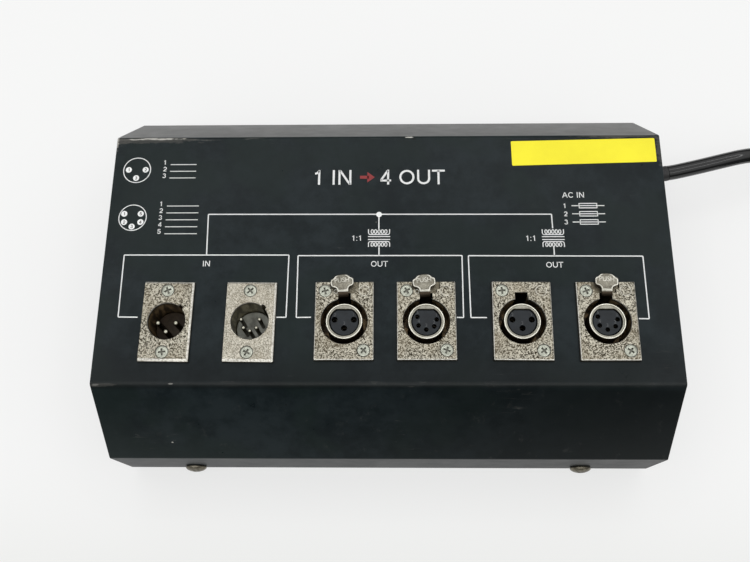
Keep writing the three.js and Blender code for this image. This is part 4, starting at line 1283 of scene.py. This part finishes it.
printWords = [  # words, x and y of the base line, cap height, alignment
    ("IN", -80.45, -5.5, 2.65, "CENTER"), ("OUT", -3.0, -5.8, 2.65, "CENTER"),
    ("OUT", 74.65, -6.4, 2.65, "CENTER"), ("1:1", -13.5, 6.6, 2.6, "CENTER"),
    ("1:1", 64.5, 6.3, 2.6, "CENTER"), ("AC IN", 80.15, 27.3, 2.75, "LEFT"),
]
pinDiagrams = [
    ((-116.1, 42.1), [("1", -3.9, 0.2), ("2", 4.0, 0.2), ("3", -0.1, -4.0)]),
    ((-115.9, 18.2), [
        ("1", -4.0, 1.9), ("2", -3.7, -2.2), ("3", 0.0, -4.4), ("4", 3.8, -2.2), ("5", 3.6, 1.9),
    ]),
]
numberedRows = {
    "cap": 2.3, "step": 3.42, "gap": 3.2,
    "places": [(-103.8, 44.9, 3, 15.3), (-103.8, 23.9, 5, 17.9)],  # x, y, how many, reach of the lines
}
fuseRows = {
    "x": 80.3, "y": 22.2, "count": 3, "step": 4, "cap": 2.3, "gap": 3.6, "lead": 3.4, "wide": 8, "tall": 2.2,
}
transformer = {
    "places": [(-3.3, 7.87), (74.7, 7.6)], "count": 5, "pitch": 1.53, "wide": 0.54, "tall": 0.92,
    "middle": 3.12, "line": 1.68, "end": 4.25, "side": 4.75, "turn": 0.9, "bar": 5, "barLift": 0.7,
}


def oval(x, y, wide, tall, start=0, end=360, steps=36):
    turns = [math.radians(start + (end - start) * k / steps) for k in range(steps + (end - start < 360))]
    return [(x + wide * math.cos(turn), y + tall * math.sin(turn)) for turn in turns]


def bow(x, y, wide, tall, start, end):
    return oval(x, y, wide, tall, start, end, 12)


def loop(x, y, wide, tall):
    points = oval(x, y, wide, tall, 0, 360, 20)
    return points + points[:1]


# Plain letters drawn in lines, in cap heights: how far each moves on, then its lines
plainLetters = {
    " ": (0.387, []),
    "A": (0.93, [[(0.07, 0), (0.45, 0.97)], [(0.86, 0), (0.48, 0.97)], [(0.22, 0.34), (0.71, 0.34)]]),
    "C": (1, [bow(0.53, 0.5, 0.39, 0.43, 40, 320)]),
    "I": (0.387, [[(0.19, 0), (0.19, 1)]]),
    "N": (1, [[(0.16, 0), (0.16, 1)], [(0.84, 0), (0.84, 1)], [(0.19, 0.98), (0.81, 0.02)]]),
    "O": (1.08, [loop(0.54, 0.5, 0.41, 0.43)]),
    "T": (0.85, [[(0.425, 0), (0.425, 0.95)], [(0.03, 0.93), (0.82, 0.93)]]),
    "U": (1, [[(0.16, 1)] + bow(0.5, 0.38, 0.34, 0.31, 180, 360) + [(0.84, 1)]]),
    "1": (0.774, [[(0.44, 0), (0.44, 1)], [(0.18, 0.76), (0.32, 0.79), (0.43, 0.96)]]),
    "2": (0.774, [bow(0.38, 0.66, 0.26, 0.27, 170, -40) + [(0.3, 0.3), (0.13, 0.1)],
                  [(0.06, 0.07), (0.67, 0.07)]]),
    "3": (0.774, [bow(0.36, 0.715, 0.24, 0.215, 160, -90) + bow(0.36, 0.285, 0.28, 0.215, 90, -165)]),
    "4": (0.774, [[(0.53, 0), (0.53, 1)], [(0.51, 0.95), (0.09, 0.3)], [(0.05, 0.27), (0.72, 0.27)]]),
    "5": (0.774, [[(0.65, 0.93), (0.19, 0.93)], [(0.2, 0.97), (0.14, 0.47)],
                  bow(0.37, 0.34, 0.28, 0.27, 145, -160)]),
    ":": (0.387, [[(0.19, 0), (0.19, 0.14)], [(0.19, 0.59), (0.19, 0.73)]]),
}


# A word in plain letters, sized to a cap height
def plainWord(words, x, y, cap, align):
    lines, at = [], 0
    for letter in words:
        advance, shapes = plainLetters[letter]
        lines += [[(u + at, v) for u, v in shape] for shape in shapes]
        at += advance
    us = [u for line in lines for u, v in line]
    start = {"LEFT": min(us), "CENTER": (min(us) + max(us)) / 2}[align]
    return [[(x + (u - start) * cap, y + v * cap) for u, v in line] for line in lines]


def strokes(name, lines, width, corner, finish, height):
    line = bpy.data.curves.new("strokes", "CURVE")
    line.dimensions = "3D"
    for points in lines:
        closed = points[0] == points[-1]
        shown = points[:-1] if closed else points
        spline = line.splines.new("POLY")
        spline.points.add(len(shown) - 1)
        for knot, (x, y) in zip(spline.points, shown):
            knot.co = (x * mm, y * mm, height * mm, 1)
        spline.use_cyclic_u = closed
    holder = bpy.data.objects.new("strokes", line)
    bpy.context.scene.collection.objects.link(holder)
    recipe = Recipe(name + "_recipe", {
        "Line width": ("Float", width * mm), "Ink thickness": ("Float", panelPrint["thick"] * mm),
        "Corner radius": ("Float", corner * mm), "Corner steps": ("Int", 4), "Material": ("Material", finish),
    })
    route = recipe.given("Geometry")
    if corner:
        sockets = {"Curve": route, "Radius": recipe.given("Corner radius"), "Limit Radius": True,
                   "Count": recipe.given("Corner steps")}
        route = recipe.add("GeometryNodeFilletCurve", {"mode": "POLY"}, sockets)
    sizes = {"Width": recipe.given("Line width"), "Height": recipe.given("Ink thickness")}
    profile = recipe.add("GeometryNodeCurvePrimitiveQuadrilateral", {"mode": "RECTANGLE"}, sizes)
    sockets = {"Curve": route, "Profile Curve": profile, "Fill Caps": True}
    return recipe.run(holder, recipe.add("GeometryNodeCurveToMesh", {}, sockets), name)


# A transformer's sign: two windings drawn as ovals on a line with turned-up ends, and two bars between them
def transformerSign(x, y):
    sign = transformer
    lines = []
    for way in (1, -1):
        side, low, high = sign["side"], sign["line"], sign["end"]
        corners = [(-side, high), (-side, low), (side, low), (side, high)]
        base = roundedOutline(corners, [0, sign["turn"], sign["turn"], 0], 5)
        lines.append([(x + u, y + way * v) for u, v in base])
        for k in range(sign["count"]):
            centre = x + (k - (sign["count"] - 1) / 2) * sign["pitch"]
            lines.append(loop(centre, y + way * sign["middle"], sign["wide"], sign["tall"]))
        level = y + way * sign["barLift"]
        lines.append([(x - sign["bar"], level), (x + sign["bar"], level)])
    return lines


# Numbers one below the other, each before a plain line
def numberedLines(x, y, count, reach):
    size = numberedRows
    lines = []
    for k in range(count):
        low = y - k * size["step"]
        lines += plainWord(str(k + 1), x, low, size["cap"], "LEFT")
        lines.append([(x + size["gap"], low), (x + reach, low)])
    return lines


# Fuse signs one below the other, each after its number
def fuseSigns():
    size = fuseRows
    digits, signs = [], []
    for k in range(size["count"]):
        low = size["y"] - k * size["step"]
        digits += plainWord(str(k + 1), size["x"], low, size["cap"], "LEFT")
        start, level = size["x"] + size["gap"], low + size["cap"] / 2
        left, right = start + size["lead"], start + size["lead"] + size["wide"]
        bottom, top = level - size["tall"] / 2, level + size["tall"] / 2
        signs.append([(start, level), (right + size["lead"], level)])
        signs.append([(left, bottom), (right, bottom), (right, top), (left, top), (left, bottom)])
    return digits, signs


def makePrint():
    size = panelPrint
    low = panelTop + size["lift"]
    high = low + size["thick"]
    height = (low + high) / 2
    letters, signs = fuseSigns()
    for x, y in transformer["places"]:
        signs += transformerSign(x, y)
    for words, x, y, cap, align in printWords:
        letters += plainWord(words, x, y, cap, align)
    for x, y, count, reach in numberedRows["places"]:
        letters += numberedLines(x, y, count, reach)
    digits = []
    dots = [(lineJoint, size["joint"])]
    for centre, marks in pinDiagrams:
        ring = arc(centre, size["ring"], 0, 360, 48)[:-1]
        signs.append(ring + ring[:1])
        for digit, x, y in marks:
            spot = (centre[0] + x, centre[1] + y)
            dots.append((spot, size["dot"]))
            digits += plainWord(digit, spot[0], spot[1] - size["digit"] / 2, size["digit"], "CENTER")
    rounds = [rod(radius, low, high + size["dotLift"], 28, spot) for spot, radius in dots]
    parts = [
        strokes("print_lines", printLines, size["line"], size["corner"], whiteInk, height),
        strokes("print_signs", signs, size["signLine"], size["signCorner"], whiteInk, height),
        strokes("print_legends", letters, size["letterLine"], 0, whiteInk, height),
        finished("print_dots", joined(rounds), whiteInk),
        strokes("print_digits", digits, size["digitLine"], 0, darkInk, high + size["thick"] / 2),
    ]
    for part in parts:
        handOver(part)


# A plain title: how the box shares out its signal
title = {
    "words": [("1 IN", -33), ("4 OUT", -2.8)], "base": 34.3, "cap": 7.4, "line": 1,
    "shaft": ((-12.2, 37.25), (-8.2, 38.75)), "head": [(-8.8, 35.35), (-5.4, 38), (-8.8, 40.65)],
}


def makeTitle():
    size = title
    low = panelTop + panelPrint["lift"]
    high = low + panelPrint["thick"]
    letters = []
    for words, x in size["words"]:
        letters += plainWord(words, x, size["base"], size["cap"], "LEFT")
    handOver(strokes("print_title", letters, size["line"], 0, whiteInk, (low + high) / 2))
    start, end = size["shaft"]
    tip = loft([[(x, y, z) for x, y in size["head"]] for z in (low, high)])
    arrow = joined([block((*start, low), (*end, high)), tip])
    handOver(finished("print_arrow", arrow, redInk))


# A blank yellow sticker
sticker = {
    "corners": [(58.0, 43.5), (124.5, 45.2), (124.5, 57.4), (57.9, 56.1)],
    "corner": 0.5, "lift": 0.06, "thick": 0.1, "edge": 0.02,
}


def makeSticker():
    size = sticker
    outline = roundedOutline(size["corners"], [size["corner"]] * 4, 3)
    low = panelTop + size["lift"]
    mesh = raised(outline, [(low, 0), (low + size["thick"], size["edge"])])
    handOver(finished("yellow_sticker", mesh, yellowVinyl))


# Rubber feet
foot = {
    "radius": 7, "taper": 1, "height": 4, "edge": 0.6, "hole": 2.6, "holeDepth": 2.4, "lip": 0.25,
    "screw": [(0, 0), (2.2, 0), (2.2, 0.5), (1.6, 1.1), (0, 1.25)],
}


def makeFeet():
    size = foot
    lower = size["radius"] - size["taper"]
    edge = arc((lower - size["edge"], size["edge"]), size["edge"], -90, 0, 5)
    hole, lip = size["hole"], size["lip"]
    profile = [(0, size["holeDepth"]), (hole, size["holeDepth"]), (hole, lip), (hole + lip, 0)]
    profile += [*edge, (size["radius"], size["height"]), (0, size["height"])]
    marks = []
    nodes = [f"foot_{end}_{side}" for end in ("front", "rear") for side in ("left", "right")]
    for node in nodes:
        spot = middle(node)
        marks.append({"place": (spot.x, spot.y, nodeBox(node)[0].z)})
    piece = spread("rubber_feet", marks, turned(profile, 48), mouldedRubber)
    handOver(piece, nodes)
    head = moved(turned(size["screw"], 32), turn=180, axis="X")
    for mark in marks:
        mark["place"] = (mark["place"][0], mark["place"][1], size["holeDepth"])
    piece = spread("foot_screws", marks, head, zincPlate)
    handOver(piece)


# Strain relief: a collar and a leaning boot with ribs
relief = {
    "exitY": 61.15, "head": 7, "headThick": 3, "neck": 5.4, "collar": 2.5, "edge": 0.7, "gap": 0.3,
    "length": 17, "root": 6, "tip": 3.98, "lean": 10, "ribs": 10, "ribDepth": 0.5, "steps": 84,
}


def ribbedBoot():
    size = relief
    line = bpy.data.curves.new("boot", "CURVE")
    line.dimensions = "3D"
    spline = line.splines.new("POLY")
    spline.points.add(1)
    lap = size["collar"] / 2
    spline.points[0].co = (-lap * mm, 0, 0, 1)
    spline.points[1].co = (size["length"] * mm, 0, 0, 1)
    holder = bpy.data.objects.new("boot", line)
    bpy.context.scene.collection.objects.link(holder)
    recipe = Recipe("ribbed_boot_recipe", {
        "Root radius": ("Float", size["root"] * mm), "Tip radius": ("Float", size["tip"] * mm),
        "Rib depth": ("Float", size["ribDepth"] * mm), "Ribs": ("Float", size["ribs"]),
        "Steps": ("Int", size["steps"]), "Sides": ("Int", 48), "Material": ("Material", mouldedRubber),
    })

    def maths(operation, *values):
        return recipe.add("ShaderNodeMath", {"operation": operation}, dict(enumerate(values)))

    sockets = {"Curve": recipe.given("Geometry"), "Count": recipe.given("Steps")}
    route = recipe.add("GeometryNodeResampleCurve", {}, sockets)
    along = recipe.add("GeometryNodeSplineParameter", {}, {}, "Factor")
    slope = maths("SUBTRACT", recipe.given("Tip radius"), recipe.given("Root radius"))
    taper = maths("SUBTRACT", 1, maths("POWER", maths("SUBTRACT", 1, along), 3))
    radius = maths("ADD", recipe.given("Root radius"), maths("MULTIPLY", slope, taper))
    wave = maths("SINE", maths("MULTIPLY", maths("MULTIPLY", along, recipe.given("Ribs")), 2 * math.pi))
    groove = maths("MULTIPLY", maths("GREATER_THAN", wave, 0.35), recipe.given("Rib depth"))
    shown = maths("MULTIPLY", maths("GREATER_THAN", along, 0.1), maths("LESS_THAN", along, 0.5))
    radius = maths("SUBTRACT", radius, maths("MULTIPLY", groove, shown))
    sockets = {"Resolution": recipe.given("Sides"), "Radius": 1}
    circle = recipe.add("GeometryNodeCurvePrimitiveCircle", {"mode": "RADIUS"}, sockets)
    sockets = {"Curve": route, "Profile Curve": circle, "Scale": radius, "Fill Caps": True}
    tube = recipe.add("GeometryNodeCurveToMesh", {}, sockets)
    piece = recipe.run(holder, tube, "boot")
    mesh = piece.data.copy()
    bpy.data.objects.remove(piece)
    mesh.transform(Matrix.Scale(1 / mm, 4))
    return mesh


def makeRelief():
    size = relief
    head, neck, gap, edge = size["head"], size["neck"], size["gap"], size["edge"]
    inner = -box["sheet"] - gap - size["headThick"]
    collarEnd = gap + size["collar"]
    profile = [(0, inner), (head, inner), (head, inner + size["headThick"])]
    profile += [(neck, inner + size["headThick"]), (neck, gap), (head, gap)]
    profile += arc((head - edge, collarEnd - edge), edge, 0, 90, 5) + [(0, collarEnd)]
    collar = moved(turned(profile, 64), turn=90, axis="Y")
    boot = moved(ribbedBoot(), (collarEnd - gap, 0, 0), size["lean"])
    whole = moved(combined(collar, [boot], "UNION"), (box["width"] / 2, size["exitY"], cordPoints[0][2]))
    piece = finished("ribbed_boot", whole, mouldedRubber, 30)
    handOver(piece, ["strain_relief"])
    return piece


# Plug on the far end
plug = {
    "width": 28, "height": 23, "length": 30, "corner": 5, "bevel": 2, "neck": 24, "neckRoot": 8, "neckTip": 5,
    "bladeWidth": 6.35, "bladeThick": 1.5, "bladeLength": 17, "spacing": 12.7, "offset": 5,
    "bladeHole": 1.6, "bladeHoleAt": 12, "root": 2, "earth": 2.4, "earthLength": 20, "earthOffset": 7,
    "grips": 5, "gripStart": 8, "gripStep": 3.1, "gripWide": 1.3, "gripDeep": 0.6, "gripReach": 9,
    "ribs": 5, "ribStart": 2.2, "ribStep": 4, "gap": 0.3,
}


def makePlug():
    size = plug
    end, way = coilRoute()[1:]
    start, face = size["neck"], size["neck"] + size["length"]
    outline = roundedRectangle(size["width"], size["height"], size["corner"], 8)
    turns = [math.radians(90 - 15 * k) for k in range(7)]
    edge = [(start + size["bevel"] * (1 - math.sin(a)), size["bevel"] * (1 - math.cos(a))) for a in turns]
    layers = edge + [(start + face - height, step) for height, step in reversed(edge)]
    body = raised(outline, layers)
    cuts = []
    reach, deep = size["gripReach"], size["gripDeep"]
    for k in range(size["grips"]):
        low = start + size["gripStart"] + k * size["gripStep"]
        for y in (-size["height"] / 2, size["height"] / 2):
            cuts.append(block((-reach, y - deep, low), (reach, y + deep, low + size["gripWide"])))
    body = combined(body, cuts)
    collar = [(0, 0), (size["neckTip"], 0)]
    for k in range(size["ribs"]):
        low = size["ribStart"] + k * size["ribStep"]
        radius = size["neckTip"] + (size["neckRoot"] - size["neckTip"]) * low / start
        collar += [(radius, low), (radius - 0.6, low + 0.3), (radius - 0.5, low + 1.5)]
        collar.append((radius + 0.25, low + 1.8))
    collar += [(size["neckRoot"], start), (size["neckRoot"], start + 4), (0, start + 4)]
    body = combined(body, [turned(collar, 48)], "UNION")
    body = bevelled(body, 0.25, 2, 40)
    lying = Matrix((
        (-way.y, 0, way.x, end.x + way.x * size["gap"]),
        (way.x, 0, way.y, end.y + way.y * size["gap"]),
        (0, 1, 0, end.z),
        (0, 0, 0, 1),
    ))
    body.transform(lying)
    piece = finished("plug_body", body, jacket, 40)
    blades = []
    x, wide, thick = size["offset"], size["bladeWidth"] / 2, size["bladeThick"] / 2
    root = face - size["root"]
    for y in (-size["spacing"] / 2, size["spacing"] / 2):
        blade = block((x - wide, y - thick, root), (x + wide, y + thick, face + size["bladeLength"]))
        hole = moved(rod(size["bladeHole"], -3, 3, 32), turn=90, axis="X")
        moved(hole, (x, y, face + size["bladeHoleAt"]))
        blades.append(bevelled(combined(blade, [hole]), 0.35, 3))
    radius, tip = size["earth"], face + size["earthLength"]
    profile = [(0, root), (radius, root), (radius, tip - 2)]
    profile += [*arc((radius - 2, tip - 2), 2, 0, 90, 6)[1:], (0, tip)]
    blades.append(turned(profile, 32, (-size["earthOffset"], 0)))
    metal = joined(blades)
    metal.transform(lying)
    prongs = finished("plug_blades", metal, smoothNickel)
    handOver(piece, ["mains_plug"])
    handOver(prongs)
    return piece, prongs


def dressNodes():
    looks = {
        "base_plate": zincPlate, "circuit_board": boardMask, "driver_chip": insertPlastic,
        "fuse_block": insertPlastic, "mains_transformer": windingTape,
    }
    looks.update({f"fuse_{k}": fuseGlass for k in (1, 2, 3)})
    looks.update({name: zincPlate for name in frame["nodes"] if name.startswith("standoff_")})
    for name, finish in looks.items():
        mesh = frame["nodes"][name].data
        mesh.materials.clear()
        mesh.materials.append(finish)


# Floor and light: a pale table with painted shade on it in a band in front of the box, and further in front
# painted shade that only bounced light sees; light from above with a brighter ring in it, a dim room at eye
# level
stage = {
    "size": 6000, "floor": (0.29, 0.293, 0.288), "glow": 0.62, "near": (0.84, 0.845, 0.826),
    "nearStart": (-900, -300), "nearEnd": (-210, -70), "shadeEdge": -190, "shadeFade": 260, "unseenShade": 0.88,
    "dim": 0.1, "bright": 1.11, "low": 0.18, "high": 0.72, "lean": -0.05, "seen": 0.9,
    "ring": 0.84, "ringWidth": 0.02, "ringGlow": 5,
}


def makeStage():
    half = stage["size"] / 2
    mesh = bpy.data.meshes.new("floor")
    corners = [(x * half * mm, y * half * mm, -0.0002) for x, y in ((-1, -1), (1, -1), (1, 1), (-1, 1))]
    mesh.from_pydata(corners, [], [(0, 1, 2, 3)])
    look = {"Specular IOR Level": 0.15, "Roughness": 0.7, "Metallic": 0, "Emission Strength": stage["glow"]}
    finish = Finish("floor_paper", look)
    y = finish.axes()[1]
    soft = finish.noise(0.004, 2, 0.5)
    # painted shade: a band of the floor in front of the box is painted darker
    near = (1 - y.ramp(*stage["nearEnd"])) * y.ramp(*stage["nearStart"])
    tone = finish.mix(near, finish.mix(soft, (0.985, 0.985, 0.985), (1, 1, 1)), stage["near"])
    paper = finish.add("ShaderNodeMix", {"data_type": "RGBA", "blend_type": "MULTIPLY"},
                       {0: 1, 6: tone, 7: (*stage["floor"], 1)}, 2)
    seen = finish.add("ShaderNodeLightPath", {}, {}, "Is Camera Ray")
    # painted shade: further in front the floor turns black for light bouncing off it, not for the camera
    inFrontShade = 1 - y.ramp(stage["shadeEdge"] - stage["shadeFade"], stage["shadeEdge"])
    unseenShade = inFrontShade * (1 - seen) * stage["unseenShade"]
    color, glow = finish.mix(unseenShade, paper, (0, 0, 0)), finish.mix(unseenShade, tone, (0, 0, 0))
    finish.feed({"Base Color": color, "Emission Color": glow})
    floor = place("floor", mesh, finish.material)
    sky = Sky("room")
    x, z = sky.way[0], sky.way[2]
    ring = (1 - abs(z - stage["ring"]).ramp(0, stage["ringWidth"])) * stage["ringGlow"]
    above = z.ramp(stage["low"], stage["high"]) * (stage["bright"] - stage["dim"]) + stage["dim"]
    glow = above * (1 - x * stage["lean"]) + ring
    seen = sky.add("ShaderNodeLightPath", {}, {}, "Is Camera Ray")
    strength = glow * (1 - seen) + seen * stage["seen"]
    sky.tree.links.new(strength.socket, sky.light.inputs["Strength"])
    sky.light.inputs["Color"].default_value = (1, 1, 1, 1)
    bpy.context.scene.world = sky.world
    settings = bpy.context.scene.view_settings
    settings.view_transform = "Standard"
    settings.look = "None"


latchBodies = {node: body for body, nodes in frame["record"]["behaviour"]["bodies"].items() for node in nodes}
print("cover")
makeCover()
print("connectors")
makeHousings()
makeFlangeScrews()
makeCoverScrews()
makePins()
makeContacts()
print("latches")
makeSprings()
makeLatches()
print("print")
makePrint()
makeTitle()
makeSticker()
print("feet, strain relief and plug")
makeFeet()
bootPiece = makeRelief()
plugPiece, plugProngs = makePlug()
dressNodes()
handOver(mainsCord, ["power_cord", "cord_coil"])
print("stage")
makeStage()
